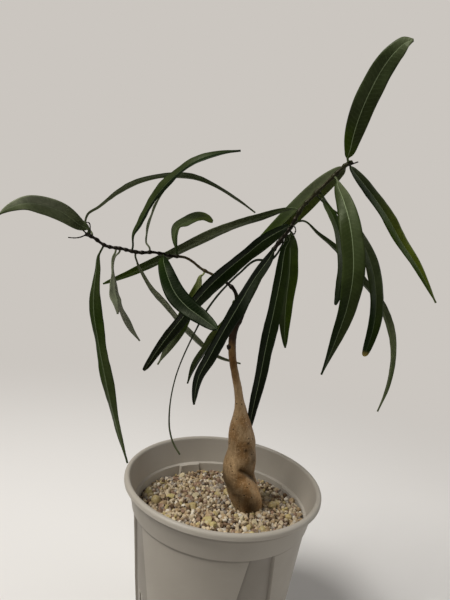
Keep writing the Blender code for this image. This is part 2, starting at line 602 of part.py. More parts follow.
def leaf_seat(leaf):
    """Where the leaf's stalk meets its branch: the two points that start its route."""
    curve = smooth_curve(RIGHT_BRANCH if leaf.branch == "right" else LEFT_BRANCH)
    place = np.array([leaf.seat * arc_lengths(curve)[-1]])
    centre = sample(curve, place)[0, :3]
    along = directions(sample(curve, place + np.array([-0.5, 0.0, 0.5]))[:, :3])[1]
    radius = branch_radius(curve, place, branch_scars(leaf.branch))[0]
    out = np.array(leaf.route[0], dtype=float) - centre
    out -= out.dot(along) * along
    out /= np.linalg.norm(out)
    return centre + out * (radius + GAP), centre + out * (radius + GAP + SEAT_LENGTH)


def blade_half_width(leaf, share):
    """Half the blade's width at a share of its length: a slender lance shape."""
    bend = math.log(0.5) / math.log(leaf.belly)
    power = leaf.taper[0] + (leaf.taper[1] - leaf.taper[0]) * share
    return 0.5 * leaf.width * max(0.0, math.sin(math.pi * share ** bend)) ** power


def leaf_ring(leaf, centre, ahead, share, turn):
    """Six points round the midrib: the upper face's left, middle and right, then the lower face's."""
    front = np.array((0.0, -1.0, 0.0))
    facing = front - front.dot(ahead) * ahead
    facing /= np.linalg.norm(facing)
    angle = math.radians(turn)
    upper = math.cos(angle) * facing + math.sin(angle) * np.cross(ahead, facing)
    side = np.cross(ahead, upper)
    half = max(PETIOLE_HALF_WIDTH, blade_half_width(leaf, share))
    spread = (half - PETIOLE_HALF_WIDTH) / (0.5 * leaf.width)
    rise = half * math.sin(FOLD_ANGLE) * spread
    ripple = 2 * math.pi * WAVE_COUNT * share
    left = rise + leaf.wave * spread * math.sin(ripple)
    right = rise + leaf.wave * spread * math.sin(ripple + WAVE_LAG)
    skin = BLADE_THICKNESS / 2
    rib = min(1.0, leaf.width / RIB_FULL_WIDTH)
    section = ((-half, left + skin), (0.0, RIB_TOP * rib), (half, right + skin),
               (half, right - skin), (0.0, -RIB_DEPTH * rib), (-half, left - skin))
    return [centre + across * side + up * upper for across, up in section]


def make_leaf(leaf):
    curve = smooth_curve([*leaf_seat(leaf), *leaf.route])
    length = arc_lengths(curve)[-1]
    even = np.linspace(0.0, 1.0, BLADE_RINGS)
    shares = 0.75 * even + 0.25 * (0.5 - 0.5 * np.cos(math.pi * even))
    stalk_rings = max(2, round(leaf.petiole / PETIOLE_RING_SPACING))
    stalk = np.linspace(0.0, leaf.petiole, stalk_rings, endpoint=False)
    places = np.concatenate([stalk, leaf.petiole + shares * (length - leaf.petiole)])
    shares = np.concatenate([np.zeros(stalk_rings), shares])
    centres = sample(curve, places)
    turns = np.interp(places / length, (0.0, 1.0), leaf.turn)
    rings = [leaf_ring(leaf, *values) for values in zip(centres, directions(centres), shares, turns)]
    skin = loft(rings, (True, False, True, True, False, True))
    return add_piece(leaf.name, *skin, leaf.tone, origin=centres[0])


def main():
    clear_scene()
    tree = bpy.data.objects.new("bottle_tree", None)
    bpy.context.scene.collection.objects.link(tree)
    pieces = [make_pot(), make_gravel(), make_wood()]
    pieces += [make_leaf(leaf) for leaf in LEAVES]
    for piece in pieces:
        piece.parent = tree


main()
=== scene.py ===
"""The looks of the potted bottle tree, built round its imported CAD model.

Sizes are in millimetres, as in part.py, and become metres when a mesh is made. The axes and the places
of the leaves, branches and pot are the part's own. Colours are screen values from 0 to 255.
"""

import math
from collections import namedtuple

import bmesh
import bpy
import numpy as np
from mathutils import Matrix, Vector, noise
from mathutils.kdtree import KDTree


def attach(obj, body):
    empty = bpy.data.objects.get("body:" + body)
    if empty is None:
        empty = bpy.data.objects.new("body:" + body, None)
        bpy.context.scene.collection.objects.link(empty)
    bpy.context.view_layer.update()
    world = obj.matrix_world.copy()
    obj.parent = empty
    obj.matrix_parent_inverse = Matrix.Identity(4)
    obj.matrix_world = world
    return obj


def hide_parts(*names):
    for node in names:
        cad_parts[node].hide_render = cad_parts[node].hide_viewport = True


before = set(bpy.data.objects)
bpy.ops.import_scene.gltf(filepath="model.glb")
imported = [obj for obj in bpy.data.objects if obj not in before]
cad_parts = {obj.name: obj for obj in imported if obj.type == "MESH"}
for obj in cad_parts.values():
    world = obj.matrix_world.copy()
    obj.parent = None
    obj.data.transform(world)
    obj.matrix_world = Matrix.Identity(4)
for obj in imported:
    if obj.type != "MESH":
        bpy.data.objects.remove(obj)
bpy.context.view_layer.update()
MM = 0.001
NOISE_SHIFT = (17.3, 5.1, 9.7)   # sets noises of different seeds apart

# Camera: where the photographer stood, looking a little down and with the phone rolled
CAMERA_PLACE = (-11.9, -281.0, 253.9)
CAMERA_PITCH = math.radians(6.87)
CAMERA_ROLL = math.radians(6.79)
CAMERA_LENS = 28.8
CAMERA_SENSOR = 36.0

# Pot
POT_HEIGHT = 111.5
LIP_RADIUS = 60.0
LIP_WIDTH = 3.4
LIP_DROP = 3.6
LIP_ROUND = 0.6
COLLAR_TOP_RADIUS = 57.3
COLLAR_BASE_RADIUS = 54.0
COLLAR_BASE_Z = 93.3
BODY_TOP_Z = 93.0
BODY_TOP_RADIUS = 53.0
BODY_BASE_RADIUS = 42.8
BODY_MIDDLE_Z = 45.0
FOOT_CHAMFER = 1.2
WALL = 1.5
FLOOR = 2.0
LEDGE_Z = 94.0
LEDGE_OUTER_RADIUS = 52.9
PANEL_COUNT = 4
PANEL_FIRST_ANGLE = 27.0
PANEL_DEPTH = 1.5
PANEL_HALF_ANGLE_TOP = 7.5
PANEL_HALF_ANGLE_BASE = 23.0
PANEL_STEP_ANGLE = 0.9
PANEL_COLUMNS = 10
LAND_COLUMNS = 38
SLIT_WIDTH = 3.0
SLIT_TOP_Z = 44.0
SLIT_INNER_RADIUS = 30.0
POT_EDGE_ROUND = 0.3
POT_EDGE_ANGLE = math.radians(24)      # sharper edges are rounded
POT_COLOR = (176, 169, 157)
DUST_COLOR = (196, 190, 178)
SCUFF_COLOR = (140, 132, 120)
# Painted shade, as shares towards SHADE_TINT: a darker outer face and lip, darker panels, dark panel edges
# and dark corners under the lip and the collar
SHADE_TINT = (0.28, 0.26, 0.24, 1.0)   # what a shade of 1 leaves of the colour
OUTER_SHADE = 0.36             # on the outer face of the body and the collar
LIP_SHADE = 0.15
PANEL_SHADE = 0.66
PANEL_EDGE_SHADE = 0.85
CORNER_SHADE = 0.6             # in the corners under the lip and under the collar
LIP_SHADE_REACH = (2.4, 3.2)   # how far below the lip its shade starts and ends to fade
COLLAR_SHADE_REACH = (1.2, 1.8)

# Gravel: a bed of fine grit that fills the pot, and the stones on it
GRAVEL_Z = 91.0
GRAVEL_SLOPE_X = 0.035
GRAVEL_SLOPE_Y = -0.055
BED_DROP = 0.9
BED_RINGS = 70
BED_SPOKES = 220
BED_RELIEF = 0.5
BED_RELIEF_LENGTH = 2.4
BED_GAP = 0.4
STONE_SEED = 11
# Each is a radius and how many places are tried for it
STONE_RADII = ((2.5, 40), (1.7, 300), (1.25, 5000), (0.95, 16000), (0.7, 12000))
STONE_SPREAD = (0.88, 1.12)    # of that radius
STONE_SQUEEZE = 0.8            # of the radii: how near two stones, or a stone and the wall, may lie
STONE_TUCK = 0.3               # of its radius: how far a stone may lie under the root end
STONE_PLANES = 9
STONE_STRETCH = (0.8, 1.2)
STONE_CUT = (0.55, 0.85)       # how far from the stone's middle a plane cuts it, in radii
STONE_FILL = 0.8               # of its size, which the planes leave
STONE_UNEVENNESS = 0.5
STONE_SHARP_ANGLE = math.radians(35)
STONE_RISE = 0.1               # of its radius: how much higher a larger stone lies
SWELL_HEIGHT = 0.7             # of the surface's soft ups and downs
SWELL_LENGTH = 14.0
STONE_LIGHT = (0.68, 1.02)     # how much lighter or darker than its colour a stone may be
LOOSE_STONES = 110             # on top of the others
LOOSE_RADII = (0.8, 1.3)
LOOSE_SHIFT = 0.6              # from the stone they lie on
LOOSE_REACH = 0.97             # draws them in from the wall
LOOSE_LIFT = 1.7
PAINTED_SHADOW_SPOT = (-47.0, 5.0)       # where a painted shadow darkens the stones near the pot's left wall, and how far and how much
PAINTED_SHADOW_REACH = 10.0
PAINTED_SHADOW_DEPTH = 0.6
STONE_COLORS = (
    ((208, 190, 158), 0.3), ((178, 154, 118), 0.24), ((190, 172, 118), 0.05), ((158, 148, 136), 0.11),
    ((150, 122, 100), 0.12), ((98, 76, 54), 0.12), ((232, 222, 202), 0.06),
)
BIG_STONE_COLORS = ((204, 188, 128), (196, 176, 122), (206, 192, 156))
FLECK_COLOR = (110, 88, 64)
CHALK_COLOR = (226, 218, 200)
BED_COLOR = (80, 62, 44)
SOIL_COLOR = (36, 27, 20)

# Wood: each row is x, y, z and radius
TRUNK = (
    (9, 2, 104.5, 3.5), (8.6, 2, 108, 7.5), (8.7, 2, 112.5, 8.9), (8.9, 2, 118, 9.4),
    (9.3, 2, 124, 8.9), (9.3, 2, 129, 8), (8.8, 2, 134, 7.8), (7.6, 2, 139, 7.3),
    (6.6, 2, 145, 6), (5.8, 2, 151, 4.3), (4.9, 2, 156.5, 3.3), (3.8, 2, 161, 2.8),
    (1.8, 1.5, 168.4, 2.5), (-0.7, 1, 176.4, 2.3), (-3, 1, 184.4, 2.3), (-4.6, 1, 194.4, 2.3),
    (-4.6, 0.5, 201, 2.2), (-3, 0.2, 207.5, 2), (-1.3, 0, 212.5, 1.5),
)
ROOT = (
    (7, 2, 120, 4.5), (9.2, 1.6, 114, 8.2), (11.6, 1.2, 107, 9), (14.8, 1, 100, 9),
    (18, 2, 92, 8.1), (21, 2, 82, 6), (22.5, 2, 70, 4), (24, 2, 58, 2),
)
RIGHT_BRANCH = (
    (-2.6, 0, 207, 1.9), (0.6, -1, 219, 1.7), (4.4, -2, 229, 1.5), (8.6, -3, 242, 1.3),
    (12, -4, 252, 1.1), (16, -4, 259, 1.1), (20, -5, 266, 1), (25, -6, 278, 1),
    (31, -8, 286, 1), (39, -10, 296, 1), (45, -12, 303, 0.9),
    (48, -12, 305, 0.8),
)
LEFT_BRANCH = (
    (-2.6, 0, 207, 1.6), (-4, 2, 218, 1.4), (-7, 3, 226, 1.1), (-14, 4, 231, 0.9),
    (-27, 4, 236, 0.8), (-38, 2, 242, 0.8), (-47, 0, 242, 0.8), (-56, -2, 243, 0.8),
    (-64, -3, 242, 0.9), (-74, -5, 243, 0.8), (-84, -7, 244, 0.8),
    (-89, -8, 247, 0.8), (-94, -9, 249, 0.8),
)
RIGHT_SCARS = (0.3, 0.37, 0.47, 0.65, 0.71, 0.78, 0.91)
LEFT_SCARS = (0.2, 0.57, 0.62, 0.71, 0.79, 0.87, 0.94)
BRANCHES = {"right": (RIGHT_BRANCH, RIGHT_SCARS), "left": (LEFT_BRANCH, LEFT_SCARS)}
SWELLING = 0.45
SWELLING_LENGTH = 0.9
SEAT_DEPTH = 0.3               # of the radius from the middle: where a stalk starts inside the branch
SEAT_RISE = 1.3                # how far off the bark its second point is
GROWTHS = (
    ((-92, -9.5, 248.5, 0.5), (-91, -12.5, 252.5, 0.4), (-91.7, -13.5, 255.5, 0.4),
     (-93.5, -13.5, 255.5, 0.4)),
    ((-93.5, -9, 249, 0.5), (-98, -10, 246.5, 0.4), (-103.5, -11, 246, 0.4)),
    ((-93.5, -9, 249, 0.5), (-97, -8, 251.5, 0.4)),
    ((43.8, -11.7, 301.8, 0.6), (51, -13.5, 305, 0.4)),
    ((20.8, -5.5, 268, 0.5), (22.8, -8, 265.5, 0.4), (22, -9.5, 262.5, 0.4),
     (20.3, -9.5, 264, 0.4)),
    ((-4, 1, 193, 1.9), (-7.4, 0.2, 191.8, 1.3)),
)
WOOD_SIDES = 24
WOOD_RING_SPACING = 0.6
WOOD_VOXEL = 0.34
WOOD_SMOOTHING = 14            # rounds
SMOOTHING_WEIGHT = 0.12        # of a round on thin wood, and what thick wood adds to it
THICK_SMOOTHING_WEIGHT = 0.48
THIN_WOOD = 1.5                # radii up to which wood counts as thin, and from which as thick
THICK_WOOD = 3.0
FIELD_STEP = 0.5               # along the runs, for the colours and radii found from them
FIELD_NEIGHBOURS = 6
WRINKLE_SIZE = 3.0
WRINKLE_SQUASH = (1.0, 1.0, 2.2)
WRINKLE_HEIGHT = 0.12
LUMP_SIZE = 9.0
LUMP_HEIGHT = 0.3
KNOB_SIZE = 1.6
KNOB_HEIGHT = 0.12

# Wood colours along each run, as shares of its length
TAN = (158, 132, 98)
BROWN = (110, 84, 50)
UMBER = (76, 52, 24)
TOP_BROWN = (40, 26, 16)
BLACK_BROWN = (18, 15, 10)
GREEN_BROWN = (44, 46, 26)
OLIVE_BROWN = (80, 72, 50)
WOOD_RUNS = (
    (TRUNK, ((0.0, TAN), (0.6, TAN), (0.7, BROWN), (0.8, BROWN),
             (0.86, TOP_BROWN), (1.0, BLACK_BROWN))),
    (ROOT, ((0.0, TAN), (0.46, TAN), (0.53, UMBER), (1.0, UMBER))),
    (RIGHT_BRANCH, ((0.0, BLACK_BROWN), (0.58, BLACK_BROWN), (0.7, GREEN_BROWN), (1.0, GREEN_BROWN))),
    (LEFT_BRANCH, ((0.0, BLACK_BROWN), (0.24, BLACK_BROWN), (0.28, OLIVE_BROWN), (0.48, OLIVE_BROWN),
                   (0.54, BLACK_BROWN), (1.0, BLACK_BROWN))),
)

# Marks on the wood: the groove between the trunk and its bent root end, with painted shade in it; two old
# pits; routes of painted shade (darker) and of painted light (below 0: lighter), each as a route, a width and
# how much darker it makes the wood; and the black knots of the branches
CREASE = (
    (20, 0, 110.5), (18, -2.1, 113.2), (16.2, -3.7, 114.8), (14.1, -5.2, 116.6), (12, -6.4, 118.2),
    (9.6, -7.2, 119.4),
)
CREASE_WIDTH = 1.5
CREASE_DEPTH = 1.1
# painted shade in the groove
CREASE_SHADE = 0.7
PITS = ((12, -5, 136.2), (11.1, -5.8, 131.9))
PIT_WIDTH = 0.9
PIT_SHADE = 0.92
PAINTED_SHADE_AND_LIGHT = (
    (((0.5, -1, 112), (4.5, -4, 108), (8.5, -6.5, 104.5), (13, -7.2, 102), (17, -7, 98.5),
      (20, -6, 94)), 4.6, 0.7),
    (((14.5, -5, 132), (16.5, -3, 125), (13, -6.4, 121.3), (15.8, -4.9, 118.3),
      (17.5, -2.7, 114.9)), 3, 0.42),
    (((13.5, -7, 112.5), (18, -5, 110), (22, -3, 104.5), (25, -1, 98.5)), 3.6, -0.8),
    (((4.5, -5.6, 123), (7.5, -6.8, 117)), 3, -0.35),
)
KNOT_WIDTH = 1.5
KNOT_SHADE = 0.75
BARK_GAIN = 0.05               # makes up for what smoothing takes off, on all and on thick wood
THICK_BARK_GAIN = 0.5
STREAK_TINT = (0.42, 0.36, 0.3, 1.0)
SPECKLE_TINT = (1.7, 1.7, 1.75, 1.0)
WARM_TINT = (0.72, 0.6, 0.46, 1.0)
PIT_COLOR = (0.012, 0.008, 0.005, 1.0)
BARK_SHEEN = (1.0, 0.86, 0.66, 1.0)

# Leaves: a lofted strip round a midrib, as in part.py
BLADE_SKIN = 0.24
EDGE_SKIN = 0.1
RIB_WIDTH = 0.7
RIB_DEPTH = 0.75
RIB_GROOVE = 0.12
RIB_FULL_WIDTH = 8.0
RIB_TAPER = 0.7                # how much lower the midrib is at the tip
PETIOLE_HALF_WIDTH = 0.6
PETIOLE_HALF_DEPTH = 0.55
BLADE_START = 0.25             # share of the full width at which the round stalk is a blade
FOLD_ANGLE = math.radians(13)
FOLD_CURL = 0.2                # how much flatter the blade is towards its margin
WAVE_COUNT = 3.0
WAVE_LAG = 2.0
WAVE_POWER = 1.3               # of the share from the midrib to the margin
RIPPLE = 0.16                  # height of the small ripples near the margin
RIPPLE_LENGTH = 7.0
MARGIN_WANDER = 0.035          # of the half width, so that the margin isn't a perfect curve
MARGIN_WANDER_LENGTH = 11.0
LEAF_RING_SPACING = 0.8
LEAF_COLUMNS = 13
COLUMN_CROWDING = 1.25
LEAF_SEED = 5
POINTED_TIPS = {"right_top": 0.77}    # half width gained per length from the tip

Leaf = namedtuple("Leaf", "name seat petiole width turn belly taper wave route")
LEAVES = (
    Leaf("left_tip", 0.995, 3, 10, (14, 6), 0.42, (0.55, 0.85), 0.4,
         ((-98, -11, 254), (-105, -17, 259), (-113, -23, 261.5), (-120, -29, 261.5), (-126.5, -34, 258),
          (-130.5, -38, 253.5))),
    Leaf("left_arching", 0.975, 9, 8.5, (-94, -110), 0.5, (0.8, 0.7), 0.5,
         ((-94.5, -2.5, 252), (-97.5, -1, 256), (-97, 0, 260), (-91, 1.5, 265.5), (-82, 6, 275),
          (-71, 12, 283), (-57, 19, 289), (-42, 26, 291), (-25.5, 32, 287.5), (-11, 36, 281.5),
          (1, 38, 275))),
    Leaf("left_rising", 0.76, 5, 9.5, (-50, -54), 0.45, (0.75, 0.6), 0.4,
         ((-68.5, -5, 250.5), (-64.5, -8.5, 258.5), (-57, -13, 272.5), (-47.5, -17, 284.5),
          (-36, -20.5, 294), (-24.5, -22.5, 299), (-13, -24, 301.5))),
    Leaf("left_upright", 0.67, 6, 5, (-90, -94), 0.45, (0.45, 0.75), 0.4,
         ((-61.5, 0, 248), (-62, 1.5, 253), (-61.5, 3.5, 259.5), (-60, 6, 267.5), (-58, 8.5, 274.5),
          (-55.5, 11, 280.5))),
    Leaf("left_curled", 0.53, 2, 9.6, (-40, -42), 0.62, (0.5, 0.32), 0.3,
         ((-45, 4, 250), (-46, 7, 254), (-46, 11, 258), (-42.5, 18, 262), (-37.5, 28, 266), (-32, 38, 268),
          (-26.5, 46, 267))),
    Leaf("left_long_hanging", 0.9, 4, 9.2, (-150, -154), 0.42, (0.8, 0.85), 0.9,
         ((-86, -8, 238.5), (-85.5, -11, 229.5), (-85, -14, 217.5), (-83.5, -16, 206.5), (-79.5, -18, 192),
          (-75, -20, 178), (-70.5, -21, 163.5), (-64.5, -22, 146.5), (-56, -22, 123.5))),
    Leaf("left_sloping_back", 0.74, 8, 7.4, (-128, -132), 0.45, (0.45, 0.65), 0.4,
         ((-66, 2, 236), (-59.5, 6, 224), (-49, 12, 211.5), (-33.5, 18, 195.5), (-13, 22, 180.5),
          (3, 24, 177))),
    Leaf("left_small_front", 0.84, 5, 7.5, (98, 128), 0.66, (1.5, 0.75), 0.4,
         ((-78, -8, 238), (-77.5, -10, 232.5), (-75.5, -12, 225), (-74, -14, 219.5), (-71.5, -16.5, 214),
          (-70, -19, 207.5))),
    Leaf("left_small_back", 0.82, 8, 6.6, (94, 112), 0.66, (0.8, 0.75), 0.4,
         ((-78.5, -1, 238), (-80, 2, 232), (-79.5, 6, 224), (-78, 10, 214.5), (-75.5, 13, 206.5),
          (-71.5, 16, 198.5), (-67.5, 18.5, 191), (-63, 20, 185))),
    Leaf("left_broad_front", 0.6, 4, 10.2, (-20, -20), 0.5, (0.45, 0.4), 0.3,
         ((-48.5, -12, 238.5), (-43.5, -23, 230.5), (-37.5, -34, 224), (-30, -44, 219.5), (-21, -53, 216),
          (-14, -60, 213))),
    Leaf("left_young_hanging", 0.362, 2, 8.4, (152, 156), 0.5, (0.6, 1), 0.5,
         ((-27.6, 3, 232.4), (-28.6, 3, 227), (-31.5, 2, 217.5), (-34.5, 1, 206.5), (-37, 0, 197.5),
          (-41.5, 0, 189), (-47.5, 0, 176.5))),
    Leaf("left_young_low", 0.12, 3, 7.5, (130, 132), 0.5, (0.45, 0.75), 0.4,
         ((-6, 4.5, 214), (-10, 6, 206), (-16, 7, 196), (-21, 8, 186), (-26, 9, 176), (-29, 10, 164))),
    Leaf("right_top", 0.98, 3, 11.6, (-5, -14), 0.5, (0.45, 0.3), 1.1,
         ((44.8, -17, 310), (44.6, -20, 315), (45, -27, 325), (46.6, -34, 334.5), (49.4, -40, 343.5),
          (53, -45, 350), (56.4, -47.6, 353.4), (59.4, -49, 354.4))),
    Leaf("right_outer", 0.985, 2, 8.6, (-20, -14), 0.38, (0.5, 0.75), 0.4,
         ((50, -9, 300.5), (59.5, -4, 293.5), (74, 2, 281), (87, 7, 267), (102, 12, 252), (118, 16, 232))),
    Leaf("right_broad_front", 0.89, 4, 11.6, (42, -38), 0.42, (0.6, 0.7), 0.6,
         ((41.5, -15, 291), (44, -23, 282.5), (47, -30, 271.5), (49.5, -34, 259.5), (51, -37, 245),
          (50.5, -37, 228.5), (48, -35, 212), (44, -30, 190))),
    Leaf("right_behind_broad", 0.77, 18, 9.6, (-26, -12), 0.55, (0.45, 0.28), 0.4,
         ((41, -3, 280), (52, 2, 275), (66, 8, 262), (77, 12, 242), (81.5, 14, 214), (78.5, 14, 193.5))),
    Leaf("right_far_back", 0.61, 8, 8, (-128, -104), 0.5, (0.8, 0.7), 0.4,
         ((27, -1, 271), (39, 8, 265), (52, 16, 258), (73.5, 27, 240), (92, 34, 223), (101, 36, 205.5),
          (104.5, 36, 190.5), (103.5, 33, 173), (98, 30, 154))),
    Leaf("right_short_inner", 0.79, 3, 9.2, (-38, -38), 0.55, (0.45, 0.35), 0.4,
         ((37, -8, 282), (41, -12, 275.5), (45.5, -14, 266.5), (49, -15, 253.5), (50.5, -14, 241),
          (50.5, -11, 226))),
    Leaf("right_young_behind", 0.96, 3, 11.5, (-178, -178), 0.4, (0.45, 0.42), 0.4,
         ((41, -8, 298), (34, 1, 290), (27, 7, 281), (20, 11, 272), (12, 14, 262), (3, 16, 251),
          (-5, 16, 242))),
    Leaf("right_sideways", 0.66, 4, 7.2, (138, 146), 0.5, (0.45, 0.42), 0.4,
         ((19, -2, 277), (13, 1, 275), (4, 5, 271), (-6, 10, 267), (-26, 18, 256.5), (-57, 23, 237),
          (-74, 25, 227), (-91, 26, 218))),
    Leaf("right_broad_crossing", 0.57, 4, 11, (-40, -52), 0.38, (0.45, 0.28), 0.4,
         ((16, -11, 265), (5, -16, 257), (-3, -20, 249), (-12, -24, 240), (-20, -27, 231), (-33, -27, 212),
          (-45, -24, 192), (-52, -21, 178))),
    Leaf("right_dark_front", 0.43, 4, 10.6, (-42, -44), 0.45, (0.45, 0.5), 0.4,
         ((10.5, -13, 249.5), (1.5, -26, 235), (-3.5, -34, 225), (-12.5, -40, 205), (-17, -42, 194),
          (-20.5, -42, 185), (-21.5, -41, 169))),
    Leaf("right_long_hanging", 0.52, 4, 10.5, (-28, -28), 0.4, (0.45, 0.4), 0.4,
         ((19, -3, 254), (19, 1, 238), (18, 6, 215.5), (16.5, 9, 193.5), (15.5, 12, 173), (14, 15, 152),
          (13, 17, 133))),
    Leaf("right_short_hanging", 0.55, 4, 11, (-24, -20), 0.35, (0.45, 0.5), 0.4,
         ((21, 0, 260), (23, 6, 253), (25, 12, 241), (26, 17, 223), (27.5, 20, 206), (30, 21, 191.5))),
    Leaf("right_threadlike", 0.49, 4, 4, (110, 92), 0.25, (0.45, 0.8), 0.2,
         ((16, 2.5, 252), (12, 7, 246), (4, 9.5, 245), (-5, 11, 236), (-19, 10, 217), (-29, 8, 194),
          (-37, 7, 165), (-38, 6, 146), (-36.5, 6, 134), (-33.5, 6, 126), (-28.5, 5, 119.5))),
)

# Colours of the leaf's face that shows at the front; they hold the leaves' own greens and also painted light
# and sheen
NIGHT = (6, 17, 2)
DEEP = (20, 34, 8)
GREEN = (36, 50, 12)
FRESH = (54, 72, 8)
MOSS = (48, 57, 28)
SLATE = (62, 71, 44)
OLIVE = (74, 84, 32)
GREY = (88, 94, 68)
ASH = (122, 126, 104)
PALE = (148, 148, 130)
BRIGHT = (92, 104, 26)
STRAW = (150, 130, 72)
STEM = (170, 178, 120)
RIB_COLOR = (150, 164, 126)
VEIN_COLOR = (92, 104, 72)
UNDER_COLOR = (96, 106, 74)
UNDER_SHARE = 0.35             # how far the other face goes from its own colour to that one

# For each leaf, the colours of its plus and its minus half, evenly spaced from the base to the tip, how
# strongly the midrib and the side veins show, and the colour of a dry tip. Besides the leaves' own colours,
# the halves' differences and the greyer, paler stops hold painted light and painted sheen
Look = namedtuple("Look", "plus minus rib veins dry", defaults=(0.04, None))
LOOKS = {
    "left_tip": Look((SLATE, GREY, ASH, ASH, GREY), (SLATE, GREY, GREY, GREY, SLATE), 0.3, 0.08),
    "left_arching": Look((GREY, GREY, SLATE, SLATE, GREY), (GREY, GREY, GREY, SLATE, GREY), 0.15),
    "left_rising": Look((DEEP, NIGHT, NIGHT, DEEP, NIGHT), (MOSS, MOSS, MOSS, MOSS, DEEP), 0.15),
    "left_upright": Look((ASH, ASH, ASH, GREY, SLATE), (ASH, ASH, ASH, GREY, SLATE), 0.1),
    "left_curled": Look((DEEP, MOSS, SLATE, OLIVE, OLIVE), (GREEN, SLATE, SLATE, SLATE, OLIVE), 0.15),
    "left_long_hanging": Look((MOSS, MOSS, GREEN, MOSS, MOSS, SLATE, SLATE),
                              (GREEN, MOSS, GREEN, GREEN, MOSS, SLATE, SLATE), 0.35),
    "left_sloping_back": Look((GREY, ASH, ASH, GREY, GREY), (GREY, SLATE, GREY, GREY, GREY), 0.1),
    "left_small_front": Look((ASH, PALE, PALE, ASH, PALE), (GREY, ASH, ASH, ASH, ASH), 0.1),
    "left_small_back": Look((ASH, PALE, ASH, ASH), (ASH, PALE, PALE, ASH), 0.1),
    "left_broad_front": Look((GREEN, DEEP, NIGHT, NIGHT, NIGHT), (DEEP, NIGHT, NIGHT, NIGHT, DEEP), 0.3),
    "left_young_hanging": Look((STEM, STEM, OLIVE, FRESH, MOSS, GREY, ASH),
                               (STEM, OLIVE, OLIVE, FRESH, MOSS, GREY, ASH), 0.2),
    "left_young_low": Look((DEEP, NIGHT, NIGHT, DEEP), (SLATE, OLIVE, SLATE, MOSS), 0.15),
    "right_top": Look((FRESH, MOSS, MOSS, MOSS, SLATE, SLATE, GREY),
                      (FRESH, FRESH, MOSS, SLATE, SLATE, SLATE, GREY), 0.95, 0.14),
    "right_outer": Look((GREEN, DEEP, FRESH, FRESH, FRESH, OLIVE),
                        (SLATE, MOSS, OLIVE, BRIGHT, BRIGHT, OLIVE), 0.4),
    "right_broad_front": Look((MOSS, MOSS, MOSS, DEEP, DEEP), (GREY, SLATE, MOSS, MOSS, DEEP), 0.6, 0.06),
    "right_behind_broad": Look((SLATE, SLATE, MOSS, MOSS, DEEP, DEEP, DEEP),
                               (GREY, GREY, SLATE, SLATE, MOSS, GREEN, DEEP), 0.3, dry=STRAW),
    "right_far_back": Look((MOSS, GREEN, MOSS, SLATE, GREY, SLATE, GREY),
                           (MOSS, GREEN, GREEN, SLATE, OLIVE, GREY, GREY), 0.15),
    "right_short_inner": Look((MOSS, SLATE, SLATE, MOSS, GREEN, DEEP),
                              (MOSS, GREEN, DEEP, DEEP, DEEP, DEEP), 0.15),
    "right_young_behind": Look((GREY, OLIVE, OLIVE, FRESH, GREEN), (GREY, GREY, SLATE, FRESH, GREEN), 0.4),
    "right_sideways": Look((SLATE, SLATE, GREY, GREY, SLATE, FRESH, FRESH),
                           (SLATE, SLATE, GREY, GREY, SLATE, FRESH, FRESH), 0.25),
    "right_broad_crossing": Look((DEEP, NIGHT, NIGHT, NIGHT, NIGHT), (DEEP, GREEN, DEEP, NIGHT, NIGHT), 0.85),
    "right_dark_front": Look((NIGHT, NIGHT, NIGHT, NIGHT, NIGHT), (NIGHT, GREEN, NIGHT, NIGHT, NIGHT), 0.85),
    "right_long_hanging": Look((DEEP, DEEP, NIGHT, NIGHT, NIGHT), (GREEN, GREEN, DEEP, NIGHT, NIGHT), 0.85),
    "right_short_hanging": Look((SLATE, SLATE, SLATE, MOSS, GREEN), (GREEN, FRESH, FRESH, FRESH, GREEN), 0.6),
    "right_threadlike": Look((DEEP, DEEP, MOSS, SLATE, GREY), (DEEP, DEEP, MOSS, SLATE, GREY), 0.05),
}
DRY_LENGTH = 0.03              # of the blade, over which its tip turns dry
DRY_TIP = 1.2                  # how dry the tip is, 1 being wholly
HALF_BLEND = 2.5               # how sharply the halves' colours meet at the midrib
BACK_SHADE = 0.7               # of the upper face where the lower one shows at the front
RIB_FADE = ((0.0, 0.1, 0.8, 1.0), (0.4, 1.0, 0.8, 0.2))      # shares of the blade, and of full strength
LEAF_SHEEN = (0.9, 1.0, 0.65, 1.0)
MOTTLE_TINT = (0.82, 0.85, 0.8, 1.0)
CLOUD_TINT = (0.8, 0.8, 0.78, 1.0)
YOUNG_LEAVES = ("left_young_hanging", "left_young_low", "right_young_behind")

# Light and background
BACKDROP_COLOR = (203, 198, 192)
FLOOR_COLOR = (226, 224, 221)
FLOOR_GLOW = 0.3               # how much of the faded floor's light reaches the object
FLOOR_FADE = (0.12, 0.7)       # metres from the pot's axis where the floor starts and ends to fade
FLOOR_REACH = 30000.0
FLOOR_DROP = 0.2
SURROUND_FRONT = 0.12          # strength of the surround's light from the viewer's side
SURROUND_BACK = 0.52
SHEEN_STRENGTH = 0.12          # of the surround as reflections see it
# A soft lamp at the upper left and a weak one at the right: place and size in metres, power and colour
LIGHTS = (
    ("key", (-0.9, -0.5, 1.6), 0.8, 35.0, (1.0, 0.985, 0.96)),
    ("fill", (1.5, 0.0, 0.6), 1.2, 7.0, (0.97, 0.98, 1.0)),
)
LIGHT_TARGET = (0.0, 0.0, 0.2)


def linear(color):
    """Scene-linear red, green and blue of a screen colour from 0 to 255."""
    share = np.array(color, dtype=float) / 255.0
    return np.where(share <= 0.04045, share / 12.92, ((share + 0.055) / 1.055) ** 2.4)


def rgba(color):
    return (*linear(color), 1.0)


